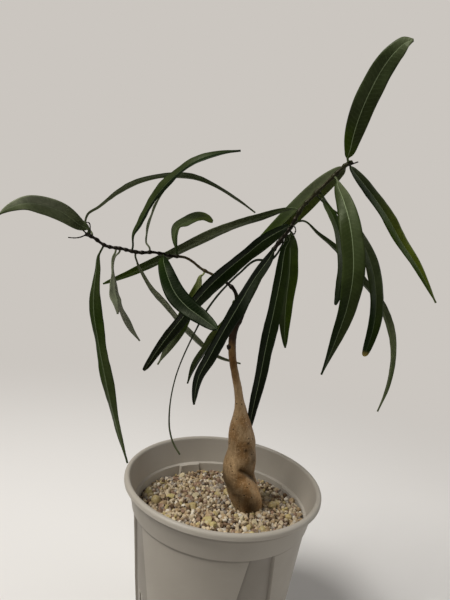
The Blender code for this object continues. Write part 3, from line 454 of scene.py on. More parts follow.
def smooth_curve(points, steps_per_span=24):
    """A dense smooth curve through the points, as a cubic through each pair of them."""
    knots = np.array(points, dtype=float)
    length = np.linalg.norm(np.diff(knots[:, :3], axis=0), axis=1)[:, None]
    slope = np.diff(knots, axis=0) / length
    inner = (slope[:-1] * length[1:] + slope[1:] * length[:-1]) / (length[:-1] + length[1:])
    if len(knots) == 2:
        tangent = np.vstack([slope, slope])
    else:
        first = 1.5 * slope[:1] - 0.5 * inner[:1]
        last = 1.5 * slope[-1:] - 0.5 * inner[-1:]
        tangent = np.vstack([first, inner, last])
    share = np.linspace(0.0, 1.0, steps_per_span, endpoint=False)[:, None]
    spans = []
    for i in range(len(knots) - 1):
        start, end = knots[i], knots[i + 1]
        rise, fall = tangent[i] * length[i], tangent[i + 1] * length[i]
        spans.append(start * (1 + 2 * share) * (1 - share) ** 2 + end * share ** 2 * (3 - 2 * share)
                     + rise * share * (1 - share) ** 2 + fall * share ** 2 * (share - 1))
    return np.vstack([*spans, knots[-1:]])


def arc_lengths(curve):
    return np.concatenate([[0.0], np.cumsum(np.linalg.norm(np.diff(curve[:, :3], axis=0), axis=1))])


def sample(curve, places):
    """The curve's values at the given distances along it."""
    lengths = arc_lengths(curve)
    return np.stack([np.interp(places, lengths, column) for column in curve.T], axis=1)


def walk(rows, step):
    """The values of the curve through the rows at even steps along it, and the share of its length there."""
    curve = smooth_curve(rows)
    length = arc_lengths(curve)[-1]
    places = np.arange(0.0, length, step)
    return sample(curve, places), places / length


def directions(points):
    ahead = np.gradient(points, axis=0)
    return ahead / np.linalg.norm(ahead, axis=1)[:, None]


def polar(radius, turns, z):
    """Points at the radius and the turns, in radians, round the pot's axis, and at height z."""
    return np.stack(np.broadcast_arrays(radius * np.cos(turns), radius * np.sin(turns), z), axis=1)


def loft_faces(rows, count):
    """Quads of a skin over rings of equal count, closed by a face at each end."""
    faces = []
    for row in range(rows - 1):
        for side in range(count):
            a = row * count + side
            b = row * count + (side + 1) % count
            faces.append((a, b, b + count, a + count))
    last = (rows - 1) * count
    faces.append(tuple(range(count - 1, -1, -1)))
    faces.append(tuple(range(last, last + count)))
    return faces


def merged(skins):
    """Points and faces of several skins as one."""
    points, faces, start = [], [], 0
    for own_points, own_faces in skins:
        points.append(own_points)
        faces += [tuple(start + index for index in face) for face in own_faces]
        start += len(own_points)
    return np.vstack(points), faces


def spot_tree(spots):
    tree = KDTree(len(spots))
    for index, spot in enumerate(spots):
        tree.insert(spot[:3], index)
    tree.balance()
    return tree


def add_piece(name, points, faces, material):
    """A smooth named object with outward faces from points in millimetres."""
    mesh = bpy.data.meshes.new(name)
    mesh.from_pydata((np.asarray(points, dtype=float) * MM).tolist(), [], faces)
    work = bmesh.new()
    work.from_mesh(mesh)
    bmesh.ops.recalc_face_normals(work, faces=work.faces)
    work.to_mesh(mesh)
    work.free()
    mesh.shade_smooth()
    if material is not None:
        mesh.materials.append(material)
    piece = bpy.data.objects.new(name, mesh)
    bpy.context.scene.collection.objects.link(piece)
    return piece


def store(piece, name, values):
    """Keep a number or a scene-linear colour for each of the piece's points."""
    values = np.asarray(values, dtype=np.float32)
    if values.ndim == 1:
        piece.data.attributes.new(name, "FLOAT", "POINT").data.foreach_set("value", values)
    else:
        filled = np.c_[values, np.ones(len(values), dtype=np.float32)]
        piece.data.attributes.new(name, "FLOAT_COLOR", "POINT").data.foreach_set("color", filled.ravel())


def point_array(piece):
    """The piece's points in millimetres."""
    flat = np.zeros(3 * len(piece.data.vertices), dtype=np.float32)
    piece.data.vertices.foreach_get("co", flat)
    return flat.reshape(-1, 3).astype(float) / MM


def set_points(piece, points):
    piece.data.vertices.foreach_set("co", (np.asarray(points) * MM).astype(np.float32).ravel())
    piece.data.update()


def normal_array(piece):
    return np.array([vertex.normal for vertex in piece.data.vertices])


def apply_modifiers(piece):
    graph = bpy.context.evaluated_depsgraph_get()
    mesh = bpy.data.meshes.new_from_object(piece.evaluated_get(graph))
    piece.modifiers.clear()
    piece.data = mesh
    mesh.shade_smooth()


def rough_noise(points, size, octaves=3, seed=0.0):
    """Noise from about -1 to 1 at each point, with features of that size in millimetres."""
    shift = Vector([seed * step for step in NOISE_SHIFT])
    return np.array([noise.fractal(Vector(p) / size + shift, 1.0, 2.0, octaves) for p in points])


class Nodes:
    """A short way to write a node tree."""

    def __init__(self, tree):
        self.tree = tree

    def fill(self, socket, value):
        """Link another node's output to the socket, or give it a plain value."""
        if isinstance(value, bpy.types.NodeSocket):
            self.tree.links.new(value, socket)
        else:
            socket.default_value = value

    def add(self, kind, inputs, output=0, **settings):
        """The output socket of a new node with these inputs and settings."""
        made = self.tree.nodes.new(kind)
        for name, value in settings.items():
            setattr(made, name, value)
        for name, value in inputs.items():
            self.fill(made.inputs[name], value)
        return made.outputs[output]

    def math(self, operation, *values):
        return self.add("ShaderNodeMath", dict(enumerate(values)), operation=operation)

    def blend(self, share, first, second):
        return self.add("ShaderNodeMixShader", {0: share, 1: first, 2: second})

    def show(self, surface, output):
        self.fill(self.tree.nodes[output].inputs["Surface"], surface)


class Paint(Nodes):
    """The node tree of a material round its Principled shader."""

    def __init__(self, name, roughness, specular):
        self.material = bpy.data.materials.new(name)
        self.material.use_nodes = True
        super().__init__(self.material.node_tree)
        self.shader = self.tree.nodes["Principled BSDF"]
        self.set(roughness=roughness, specular_ior_level=specular)

    def set(self, **sockets):
        """Fill the shader's sockets, named in lower case with underscores, and give the material."""
        for name, value in sockets.items():
            label = name.replace("_", " ").title().replace("Ior", "IOR")
            self.fill(self.shader.inputs[label], value)
        return self.material

    def number(self, name):
        return self.add("ShaderNodeAttribute", {}, "Fac", attribute_name=name)

    def color(self, name):
        return self.add("ShaderNodeAttribute", {}, "Color", attribute_name=name)

    def place(self, scale=(1.0, 1.0, 1.0)):
        """Coordinates in the part's own frame, stretched by scale."""
        plain = self.add("ShaderNodeTexCoord", {}, "Object")
        return self.add("ShaderNodeMapping", {"Vector": plain, "Scale": scale})

    def noise(self, size, detail=3.0, scale=(1.0, 1.0, 1.0), roughness=0.5):
        """Noise from 0 to 1 with features of that size in millimetres."""
        inputs = {"Vector": self.place(scale), "Scale": 1.0 / (size * MM), "Detail": detail,
                  "Roughness": roughness}
        return self.add("ShaderNodeTexNoise", inputs, "Fac")

    def spread(self, value, low, high, to_low=0.0, to_high=1.0):
        """The value's stretch from low to high, as a smooth step from to_low to to_high."""
        inputs = {"Value": value, "From Min": low, "From Max": high, "To Min": to_low, "To Max": to_high}
        return self.add("ShaderNodeMapRange", inputs, interpolation_type="SMOOTHSTEP")

    def mix(self, share, first, second, blend="MIX"):
        made = self.tree.nodes.new("ShaderNodeMix")
        made.data_type = "RGBA"
        made.blend_type = blend
        for index, value in zip((0, 6, 7), (share, first, second)):
            self.fill(made.inputs[index], value)
        return made.outputs[2]

    def tinted(self, color, tint):
        return self.mix(1.0, color, tint, "MULTIPLY")

    def bump(self, height, depth, normal=None):
        """A normal from a height of 0 to 1 that stands for depth in millimetres."""
        inputs = {"Height": height, "Distance": depth * MM, "Strength": 1.0}
        if normal is not None:
            inputs["Normal"] = normal
        return self.add("ShaderNodeBump", inputs)


def plastic_material():
    """Matte moulded plastic with a fine grain, faint dust, small scuffs and the painted shade stored on its
    points.
    """
    nodes = Paint("pot_plastic", 0.5, specular=0.4)
    cloud = nodes.noise(26.0, detail=2.0)
    grain = nodes.noise(0.7, detail=2.0)
    dust = nodes.spread(nodes.noise(5.0, detail=5.0, roughness=0.7), 0.55, 0.8)
    color = nodes.mix(cloud, rgba(POT_COLOR), rgba([0.94 * value for value in POT_COLOR]))
    color = nodes.mix(nodes.math("MULTIPLY", dust, 0.18), color, rgba(DUST_COLOR))
    scuff = nodes.spread(nodes.noise(1.8, detail=3.0, scale=(1.0, 1.0, 0.25)), 0.68, 0.78)
    color = nodes.mix(nodes.math("MULTIPLY", scuff, 0.1), color, rgba(SCUFF_COLOR))
    # darken the colour by the painted shade stored on the pot's points
    color = nodes.mix(nodes.number("shade"), color, nodes.tinted(color, SHADE_TINT))
    rough = nodes.spread(cloud, 0.2, 0.8, 0.44, 0.58)
    return nodes.set(base_color=color, roughness=rough, normal=nodes.bump(grain, 0.02))


def stone_material():
    """Mineral grains, mottled and pitted."""
    nodes = Paint("gravel_stone", 0.85, specular=0.3)
    fleck = nodes.noise(0.6, detail=4.0, roughness=0.65)
    patch = nodes.noise(2.6, detail=2.0)
    color = nodes.color("stone_color")
    color = nodes.mix(nodes.spread(fleck, 0.35, 0.75, 0.0, 0.45), color, rgba(FLECK_COLOR))
    color = nodes.mix(nodes.spread(patch, 0.5, 0.75, 0.0, 0.35), color, rgba(CHALK_COLOR))
    return nodes.set(base_color=color, normal=nodes.bump(fleck, 0.12))


def grit_material():
    """The fine dark grit between the stones, and moist soil lower down."""
    nodes = Paint("gravel_grit", 0.95, specular=0.2)
    fleck = nodes.noise(0.8, detail=4.0, roughness=0.7)
    color = nodes.mix(nodes.spread(fleck, 0.3, 0.7), rgba(SOIL_COLOR), rgba(BED_COLOR))
    return nodes.set(base_color=color, normal=nodes.bump(fleck, 0.3))


def bark_material():
    """Thin satin bark with upright streaks, pale speckle, fine wrinkles and dark pits."""
    nodes = Paint("bark", 0.45, specular=0.22)
    streak = nodes.noise(1.4, detail=5.0, scale=(1.0, 1.0, 0.3), roughness=0.6)
    speckle = nodes.noise(0.9, detail=3.0, roughness=0.7)
    cloud = nodes.noise(7.0, detail=3.0, scale=(1.0, 1.0, 0.6))
    wrinkle = nodes.noise(1.1, detail=4.0, scale=(0.5, 0.5, 1.6))
    cells = {"Vector": nodes.place(), "Scale": 1.0 / (3.2 * MM), "Randomness": 1.0}
    pit = nodes.spread(nodes.add("ShaderNodeTexVoronoi", cells, "Distance"), 0.1, 0.17, 1.0, 0.0)
    own = nodes.color("wood_color")
    color = nodes.mix(nodes.spread(cloud, 0.42, 0.62), own, nodes.tinted(own, WARM_TINT))
    color = nodes.mix(nodes.spread(streak, 0.35, 0.62, 0.45, 0.0), color, nodes.tinted(own, STREAK_TINT))
    thick = nodes.number("wood_thick")
    specks = nodes.math("MULTIPLY", nodes.spread(speckle, 0.52, 0.7, 0.0, 0.6), thick)
    color = nodes.mix(specks, color, nodes.tinted(own, SPECKLE_TINT))
    color = nodes.mix(nodes.math("MULTIPLY", pit, thick), color, PIT_COLOR)
    rough = nodes.spread(streak, 0.3, 0.7, 0.36, 0.58)
    normal = nodes.bump(nodes.math("SUBTRACT", streak, pit), 0.16)
    normal = nodes.bump(wrinkle, 0.14, normal=normal)
    return nodes.set(base_color=color, roughness=rough, specular_tint=BARK_SHEEN, normal=normal)


def leaf_material(name, roughness):
    """A waxy leaf: its stored colours, with painted light and sheen in them, and a pale midrib, faint side
    veins and a soft mottling.
    """
    nodes = Paint(name, roughness, specular=0.09)
    across = nodes.math("ABSOLUTE", nodes.number("blade_across"))
    wobble = nodes.math("MULTIPLY", nodes.noise(3.0), 0.8)
    slant = nodes.math("SUBTRACT", nodes.number("blade_along"), nodes.math("MULTIPLY", across, 0.55))
    phase = nodes.math("PINGPONG", nodes.math("ADD", slant, wobble), 1.15)
    vein = nodes.math("MULTIPLY", nodes.spread(phase, 0.0, 0.5, 1.0, 0.0), nodes.number("vein_strength"))
    rib = nodes.math("MULTIPLY", nodes.spread(across, 0.06, 0.24, 1.0, 0.0), nodes.number("rib_strength"))
    mottle = nodes.noise(2.2, detail=4.0, roughness=0.6)
    cloud = nodes.noise(9.0, detail=2.0)
    own = nodes.color("leaf_color")
    color = nodes.mix(nodes.spread(mottle, 0.35, 0.7), own, nodes.tinted(own, MOTTLE_TINT))
    color = nodes.mix(nodes.spread(cloud, 0.4, 0.7), color, nodes.tinted(color, CLOUD_TINT))
    color = nodes.mix(vein, color, rgba(VEIN_COLOR))
    color = nodes.mix(rib, color, rgba(RIB_COLOR))
    rough = nodes.spread(mottle, 0.3, 0.7, roughness - 0.05, roughness + 0.08)
    return nodes.set(base_color=color, roughness=rough, specular_tint=LEAF_SHEEN,
                     normal=nodes.bump(vein, 0.3))


def column_angles(z):
    """Angles in degrees of the wall's columns at height z, and whether each is in a panel."""
    share = np.clip(z / BODY_TOP_Z, 0.0, 1.0)
    half = PANEL_HALF_ANGLE_BASE + (PANEL_HALF_ANGLE_TOP - PANEL_HALF_ANGLE_BASE) * share
    pitch = 360.0 / PANEL_COUNT
    angles, recessed = [], []
    for panel in range(PANEL_COUNT):
        middle = PANEL_FIRST_ANGLE + panel * pitch
        angles += list(middle + half * np.linspace(-1.0, 1.0, PANEL_COLUMNS))
        recessed += [True] * PANEL_COLUMNS
        edge = half + PANEL_STEP_ANGLE
        angles += list(middle + np.linspace(edge, pitch - edge, LAND_COLUMNS))
        recessed += [False] * LAND_COLUMNS
    return np.array(angles), np.array(recessed)


def rim_angles():
    """Even angles for the round collar and lip, one for each of the wall's columns."""
    count = PANEL_COUNT * (PANEL_COLUMNS + LAND_COLUMNS)
    step = 360.0 / count
    return PANEL_FIRST_ANGLE + step * (np.arange(count) - (PANEL_COLUMNS - 1) / 2)


def round_ring(radius, z):
    return polar(radius, np.radians(rim_angles()), z)


def body_ring(z, inset):
    """The body's outline at height z, set in from its outer face by inset."""
    angles, recessed = column_angles(z)
    outer = BODY_BASE_RADIUS + (BODY_TOP_RADIUS - BODY_BASE_RADIUS) * z / BODY_TOP_Z
    radius = outer - inset - np.where(recessed, PANEL_DEPTH, 0.0)
    return polar(radius, np.radians(angles), z)


def lip_rings():
    """The rolled lip, from under its outer edge over the top to its inner edge."""
    under = POT_HEIGHT - LIP_DROP
    half = LIP_WIDTH / 2
    middle = LIP_RADIUS - half
    crown = POT_HEIGHT - half
    rings = [round_ring(LIP_RADIUS - LIP_ROUND, under), round_ring(LIP_RADIUS, under + LIP_ROUND)]
    for degrees in range(0, 181, 15):
        turn = math.radians(degrees)
        rings.append(round_ring(middle + half * math.cos(turn), crown + half * math.sin(turn)))
    return rings


def slit_cutter(panel):
    """An upright box that cuts a slit in the panel's middle, through the wall and the floor's edge."""
    turn = math.radians(PANEL_FIRST_ANGLE + panel * 360.0 / PANEL_COUNT)
    out = np.array((math.cos(turn), math.sin(turn), 0.0))
    side = SLIT_WIDTH / 2 * np.array((-out[1], out[0], 0.0))
    corners = [radius * out + way * side for radius, way in (
        (SLIT_INNER_RADIUS, -1), (BODY_TOP_RADIUS, -1), (BODY_TOP_RADIUS, 1), (SLIT_INNER_RADIUS, 1))]
    points = [corner + (0.0, 0.0, z) for z in (-FLOOR, SLIT_TOP_Z) for corner in corners]
    return add_piece(f"slit_cutter_{panel}", points, loft_faces(2, len(corners)), None)


def cut_slits(pot):
    cutters = [slit_cutter(panel) for panel in range(PANEL_COUNT)]
    for cutter in cutters:
        cut = pot.modifiers.new(cutter.name, "BOOLEAN")
        cut.operation = "DIFFERENCE"
        cut.object = cutter
        cut.solver = "EXACT"
    apply_modifiers(pot)
    for cutter in cutters:
        bpy.data.objects.remove(cutter, do_unlink=True)


def round_edges(pot):
    edges = pot.modifiers.new("rounded_edges", "BEVEL")
    edges.width = POT_EDGE_ROUND * MM
    edges.segments = 2
    edges.limit_method = "ANGLE"
    edges.angle_limit = POT_EDGE_ANGLE
    edges.harden_normals = True
    apply_modifiers(pot)


def collar_ring(drop):
    """The collar's outline that far below the lip."""
    height = POT_HEIGHT - LIP_DROP - COLLAR_BASE_Z
    radius = COLLAR_TOP_RADIUS - (COLLAR_TOP_RADIUS - COLLAR_BASE_RADIUS) * drop / height
    return round_ring(radius, POT_HEIGHT - LIP_DROP - drop)


def pot_rings():
    """Rings from the foot up the outer face, over the lip and down inside, each with how much painted shade
    it has.
    """
    recess = np.where(column_angles(0.0)[1], PANEL_SHADE, OUTER_SHADE)
    recess[::PANEL_COLUMNS + LAND_COLUMNS] = PANEL_EDGE_SHADE
    foot = body_ring(FOOT_CHAMFER, FOOT_CHAMFER)
    foot[:, 2] = 0.0
    rings = [(foot, recess)]
    rings += [(body_ring(z, 0.0), recess) for z in (FOOT_CHAMFER, BODY_MIDDLE_Z,
                                                    BODY_TOP_Z - COLLAR_SHADE_REACH[1])]
    rings += [(body_ring(BODY_TOP_Z - drop, 0.0), CORNER_SHADE) for drop in (COLLAR_SHADE_REACH[0], 0.0)]
    rings += [(round_ring(COLLAR_BASE_RADIUS, COLLAR_BASE_Z), OUTER_SHADE),
              (collar_ring(LIP_SHADE_REACH[1]), OUTER_SHADE)]
    rings += [(collar_ring(drop), CORNER_SHADE) for drop in (LIP_SHADE_REACH[0], 0.0)]
    rings += [(ring, LIP_SHADE) for ring in lip_rings()]
    rings.append((round_ring(LEDGE_OUTER_RADIUS, COLLAR_BASE_Z + WALL), 0.0))
    return rings + [(body_ring(z, WALL), 0.0) for z in (LEDGE_Z, BODY_MIDDLE_Z, FLOOR)]


def make_pot():
    """The pot with more columns than its solid, with rounded edges and painted shade on its outer face, lip,
    panels and corners.
    """
    rings, shades = zip(*pot_rings())
    count = len(rings[0])
    pot = add_piece("pot_shell", np.vstack(rings), loft_faces(len(rings), count), plastic_material())
    store(pot, "shade", np.concatenate([np.broadcast_to(shade, count) for shade in shades]))
    cut_slits(pot)
    round_edges(pot)
    return pot


def gravel_level(x, y):
    return GRAVEL_Z + GRAVEL_SLOPE_X * x + GRAVEL_SLOPE_Y * y


def inner_radius(x, y):
    """How far the pot's inner wall is from its axis, at the gravel's height, towards each place."""
    ring = body_ring(GRAVEL_Z, WALL)
    around = np.degrees(np.arctan2(ring[:, 1], ring[:, 0])) % 360.0
    order = np.argsort(around)
    reach = np.hypot(ring[:, 0], ring[:, 1])[order]
    return np.interp(np.degrees(np.arctan2(y, x)) % 360.0, around[order], reach, period=360.0)


def make_bed():
    """The grit that fills the pot under the stones, as one closed body."""
    turns = 2 * math.pi * np.arange(BED_SPOKES) / BED_SPOKES
    reach = inner_radius(np.cos(turns), np.sin(turns)) - BED_GAP
    rows = []
    for ring in range(1, BED_RINGS + 1):
        row = polar(reach * ring / BED_RINGS, turns, 0.0)
        row[:, 2] = gravel_level(row[:, 0], row[:, 1]) - BED_DROP
        rows.append(row)
    top = np.vstack(rows)
    top[:, 2] += BED_RELIEF * rough_noise(top, BED_RELIEF_LENGTH)
    centre = np.array([[0.0, 0.0, gravel_level(0.0, 0.0) - BED_DROP]])
    sides = []
    for z in (BODY_MIDDLE_Z, FLOOR + BED_GAP):
        narrowing = (BODY_TOP_RADIUS - BODY_BASE_RADIUS) * (1 - z / BODY_TOP_Z)
        sides.append(polar(reach - narrowing - PANEL_DEPTH, turns, z))
    points = np.vstack([top, *sides, centre])
    middle = len(points) - 1
    faces = loft_faces(BED_RINGS + len(sides), BED_SPOKES)
    faces.pop(-2)
    faces += [(i, middle, (i + 1) % BED_SPOKES) for i in range(BED_SPOKES)]
    return add_piece("gravel_bed", points, faces, grit_material())


def scatter_stones(rng):
    """Places and radii of stones that fill the surface, the large ones first."""
    root, _ = walk(ROOT, FIELD_STEP / 2)
    crossing = root[np.argmin(np.abs(root[:, 2] - GRAVEL_Z))]
    placed = np.zeros((0, 3))
    for radius, tries in STONE_RADII:
        for _ in range(tries):
            x, y = rng.uniform(-BODY_TOP_RADIUS, BODY_TOP_RADIUS, 2)
            size = radius * rng.uniform(*STONE_SPREAD)
            if math.hypot(x, y) + STONE_SQUEEZE * size > inner_radius(x, y):
                continue
            if math.hypot(x - crossing[0], y - crossing[1]) < crossing[3] - STONE_TUCK * size:
                continue
            near = STONE_SQUEEZE * (placed[:, 2] + size)
            if np.any(np.hypot(placed[:, 0] - x, placed[:, 1] - y) < near):
                continue
            placed = np.vstack([placed, (x, y, size)])
    return placed


def rotation(rng):
    """An evenly random turn."""
    turned, _ = np.linalg.qr(rng.normal(size=(3, 3)))
    return turned * np.sign(np.linalg.det(turned))


def stone_points(rng, ball, radius):
    """The ball's points pressed into an angular grain by flat planes on all sides."""
    points = ball * rng.uniform(*STONE_STRETCH, 3)
    for _ in range(STONE_PLANES):
        facing = rng.normal(size=3)
        facing /= np.linalg.norm(facing)
        over = points @ facing - rng.uniform(*STONE_CUT)
        points = points - np.clip(over, 0.0, None)[:, None] * facing
    return radius * (points @ rotation(rng).T)


def unit_ball():
    """Points and faces of a small ball of triangles."""
    work = bmesh.new()
    bmesh.ops.create_icosphere(work, subdivisions=2, radius=1.0)
    points = np.array([vertex.co for vertex in work.verts])
    faces = [[vertex.index for vertex in face.verts] for face in work.faces]
    work.free()
    return points, faces


def stone_spots(rng):
    """The place, the radius and the height of each stone, the loose ones on top last."""
    spots = scatter_stones(rng)
    uneven = rng.uniform(-STONE_UNEVENNESS, STONE_UNEVENNESS, len(spots))
    heights = gravel_level(spots[:, 0], spots[:, 1]) + uneven
    swell = SWELL_HEIGHT * rough_noise(np.c_[spots[:, :2], np.zeros(len(spots))], SWELL_LENGTH, octaves=2)
    heights += swell + STONE_RISE * spots[:, 2]
    loose = spots[rng.choice(len(spots), LOOSE_STONES, replace=False)].copy()
    loose[:, :2] += rng.uniform(-LOOSE_SHIFT, LOOSE_SHIFT, (LOOSE_STONES, 2))
    loose[:, :2] *= LOOSE_REACH
    loose[:, 2] = rng.uniform(*LOOSE_RADII, LOOSE_STONES)
    lifted = gravel_level(loose[:, 0], loose[:, 1]) + LOOSE_LIFT
    return np.vstack([spots, loose]), np.concatenate([heights, lifted])


def make_stones():
    rng = np.random.default_rng(STONE_SEED)
    spots, heights = stone_spots(rng)
    ball, ball_faces = unit_ball()
    colors = linear([color for color, _ in STONE_COLORS])
    shares = np.array([share for _, share in STONE_COLORS])
    big_colors = linear(BIG_STONE_COLORS)
    skins, tints = [], []
    for (x, y, radius), z in zip(spots, heights):
        skins.append((stone_points(rng, ball, radius / STONE_FILL) + (x, y, z), ball_faces))
        big = radius > STONE_RADII[1][0] * STONE_SPREAD[1]
        own = rng.choice(big_colors) if big else rng.choice(colors, p=shares / shares.sum())
        # painted shadow: stones near the pot's left wall are darkened
        painted_shadow = math.exp(-(math.hypot(x - PAINTED_SHADOW_SPOT[0], y - PAINTED_SHADOW_SPOT[1]) / PAINTED_SHADOW_REACH) ** 2)
        tints.append(np.tile(own * rng.uniform(*STONE_LIGHT) * (1.0 - PAINTED_SHADOW_DEPTH * painted_shadow), (len(ball), 1)))
    piece = add_piece("gravel_stones", *merged(skins), stone_material())
    store(piece, "stone_color", np.vstack(tints))
    piece.data.set_sharp_from_angle(angle=STONE_SHARP_ANGLE)
    return piece


def branch_radius(curve, places, scars):
    """The branch's radius at the places along it, with a swelling at each scar and leaf seat."""
    length = arc_lengths(curve)[-1]
    radius = sample(curve, places)[:, 3]
    for scar in scars:
        radius = radius + SWELLING * np.exp(-((places - scar * length) / SWELLING_LENGTH) ** 2)
    return radius


def branch_of(leaf):
    return leaf.name.split("_")[0]


def branch_scars(branch):
    seats = [leaf.seat for leaf in LEAVES if branch_of(leaf) == branch]
    return (*seats, *BRANCHES[branch][1])


def branch_knots():
    """The places of the knots along both branches."""
    spots = []
    for rows, scars in BRANCHES.values():
        curve = smooth_curve(rows)
        spots += list(sample(curve, np.array(scars) * arc_lengths(curve)[-1])[:, :3])
    return spots


def tube(rows, scars=()):
    """Points and faces of a round bar through rows of x, y, z and radius."""
    curve = smooth_curve(rows)
    length = arc_lengths(curve)[-1]
    places = np.linspace(0.0, length, max(3, round(length / WOOD_RING_SPACING) + 1))
    centres = sample(curve, places)[:, :3]
    radius = branch_radius(curve, places, scars)
    along = directions(centres)
    across = np.cross(along, (0.0, 1.0, 0.0))
    across /= np.linalg.norm(across, axis=1)[:, None]
    other = np.cross(along, across)
    turns = 2 * math.pi * np.arange(WOOD_SIDES) / WOOD_SIDES
    ring = (np.cos(turns)[None, :, None] * across[:, None, :]
            + np.sin(turns)[None, :, None] * other[:, None, :])
    points = centres[:, None, :] + radius[:, None, None] * ring
    return points.reshape(-1, 3), loft_faces(len(places), WOOD_SIDES)


def wood_field(points):
    """For each point of the wood, its colour and the wood's radius there, from the nearest run."""
    spots, colors, radii = [], [], []
    runs = (*WOOD_RUNS, *((rows, ((0.0, BLACK_BROWN), (1.0, BLACK_BROWN))) for rows in GROWTHS))
    for rows, stops in runs:
        found, along = walk(rows, FIELD_STEP)
        shares = [share for share, _ in stops]
        palette = linear([color for _, color in stops])
        spots += list(found[:, :3])
        radii += list(found[:, 3])
        colors += list(np.stack([np.interp(along, shares, column) for column in palette.T], axis=1))
    tree = spot_tree(spots)
    chosen = []
    for point in points:
        near = tree.find_n(point, FIELD_NEIGHBOURS)
        chosen.append(min(near, key=lambda item: item[2] - radii[item[1]])[1])
    return np.array(colors)[chosen], np.array(radii)[chosen]


def nearness(points, spots, width):
    """How near each point is to the closest of the spots, from 0 far off to 1 on it."""
    tree = spot_tree(spots)
    distance = np.array([tree.find(point)[2] for point in points])
    return np.exp(-(distance / width) ** 2)


def smoothed(piece, points, weight, rounds):
    """The points moved towards their neighbours' mean by their weight, several times over."""
    ends = np.zeros(2 * len(piece.data.edges), dtype=np.int64)
    piece.data.edges.foreach_get("vertices", ends)
    a, b = ends.reshape(-1, 2).T
    count = np.bincount(np.concatenate([a, b]), minlength=len(points))[:, None]
    for _ in range(rounds):
        total = np.zeros_like(points)
        np.add.at(total, a, points[b])
        np.add.at(total, b, points[a])
        points = points + weight[:, None] * (total / count - points)
    return points


def bark_relief(places, radii, thick, crease):
    """How far the bark stands out at each place: wrinkles and lumps on thick wood, knobs on thin."""
    wrinkle = rough_noise(places * WRINKLE_SQUASH, WRINKLE_SIZE, seed=1.0)
    knob = rough_noise(places, KNOB_SIZE, octaves=2, seed=2.0)
    lump = rough_noise(places, LUMP_SIZE, octaves=2, seed=3.0)
    uneven = (thick * (WRINKLE_HEIGHT * wrinkle + LUMP_HEIGHT * lump)
              + (1.0 - thick) * KNOB_HEIGHT * knob)
    bulk = np.clip((radii - THICK_WOOD) / THICK_WOOD, 0.0, 1.0)
    return uneven + (BARK_GAIN + THICK_BARK_GAIN * bulk - CREASE_DEPTH * crease)


def bark_light(places, crease):
    """What the painted shade in the groove, the pits, the knots and the routes of painted shade and light
    leave of the wood's colour at each place.
    """
    pits = nearness(places, PITS, PIT_WIDTH)
    knots = nearness(places, branch_knots(), KNOT_WIDTH)
    light = (1.0 - CREASE_SHADE * crease) * (1.0 - PIT_SHADE * pits) * (1.0 - KNOT_SHADE * knots)
    # routes of painted shade, and of painted light where the depth is below 0
    for route, width, depth in PAINTED_SHADE_AND_LIGHT:
        light *= 1.0 - depth * nearness(places, smooth_curve(route), width)
    return light


def make_wood():
    """The trunk, root, branches and stipules as one skin, with bark wrinkles and knots."""
    parts = [tube(TRUNK), tube(ROOT), tube(RIGHT_BRANCH, branch_scars("right")),
             tube(LEFT_BRANCH, branch_scars("left")), *[tube(rows) for rows in GROWTHS]]
    wood = add_piece("bark_skin", *merged(parts), None)
    skin = wood.modifiers.new("skin", "REMESH")
    skin.mode = "VOXEL"
    skin.voxel_size = WOOD_VOXEL * MM
    apply_modifiers(wood)
    places = point_array(wood)
    colors, radii = wood_field(places)
    thick = np.clip((radii - THIN_WOOD) / (THICK_WOOD - THIN_WOOD), 0.0, 1.0)
    places = smoothed(wood, places, SMOOTHING_WEIGHT + THICK_SMOOTHING_WEIGHT * thick, WOOD_SMOOTHING)
    set_points(wood, places)
    crease = nearness(places, smooth_curve(CREASE), CREASE_WIDTH)
    height = bark_relief(places, radii, thick, crease)
    set_points(wood, places + height[:, None] * normal_array(wood))
    wood.data.materials.append(bark_material())
    store(wood, "wood_color", colors * bark_light(places, crease)[:, None])
    store(wood, "wood_thick", thick)
    return wood


def leaf_seat(leaf):
    """The two points that start the leaf's route: inside the branch and just outside it."""
    branch = branch_of(leaf)
    curve = smooth_curve(BRANCHES[branch][0])
    place = np.array([leaf.seat * arc_lengths(curve)[-1]])
    centre = sample(curve, place)[0, :3]
    along = directions(sample(curve, place + np.array([-0.5, 0.0, 0.5]))[:, :3])[1]
    radius = branch_radius(curve, place, branch_scars(branch))[0]
    out = np.array(leaf.route[0], dtype=float) - centre
    out -= out.dot(along) * along
    out /= np.linalg.norm(out)
    return centre + out * (SEAT_DEPTH * radius), centre + out * (radius + SEAT_RISE)


def blade_half_width(leaf, shares):
    """Half the blade's width at shares of its length: a slender lance shape."""
    bend = math.log(0.5) / math.log(leaf.belly)
    power = leaf.taper[0] + (leaf.taper[1] - leaf.taper[0]) * shares
    return 0.5 * leaf.width * np.clip(np.sin(math.pi * shares ** bend), 0.0, 1.0) ** power


def leaf_frames(ahead, turns):
    """The upper face's normal and the plus side at each place along the midrib."""
    front = np.array((0.0, -1.0, 0.0))
    facing = front - (ahead @ front)[:, None] * ahead
    facing /= np.linalg.norm(facing, axis=1)[:, None]
    angle = np.radians(turns)[:, None]
    upper = np.cos(angle) * facing + np.sin(angle) * np.cross(ahead, facing)
    return upper, np.cross(ahead, upper)


def wander(rng, places, spacing):
    """A smooth random curve from about -1 to 1 over the places, with that spacing of its bends."""
    knots = np.arange(places[0] - spacing, places[-1] + 3 * spacing, spacing)
    values = rng.uniform(-1.0, 1.0, len(knots))
    share = (places - knots[0]) / spacing
    index = share.astype(int)
    step = share - index
    step = step * step * (3 - 2 * step)
    return values[index] * (1 - step) + values[index + 1] * step


def wander_halves(rng, places, spacing, column):
    """A smooth random curve along the blade for the plus columns, and another for the minus ones."""
    plus = wander(rng, places, spacing)
    minus = wander(rng, places, spacing)
    return np.where(column > 0, plus[:, None], minus[:, None])


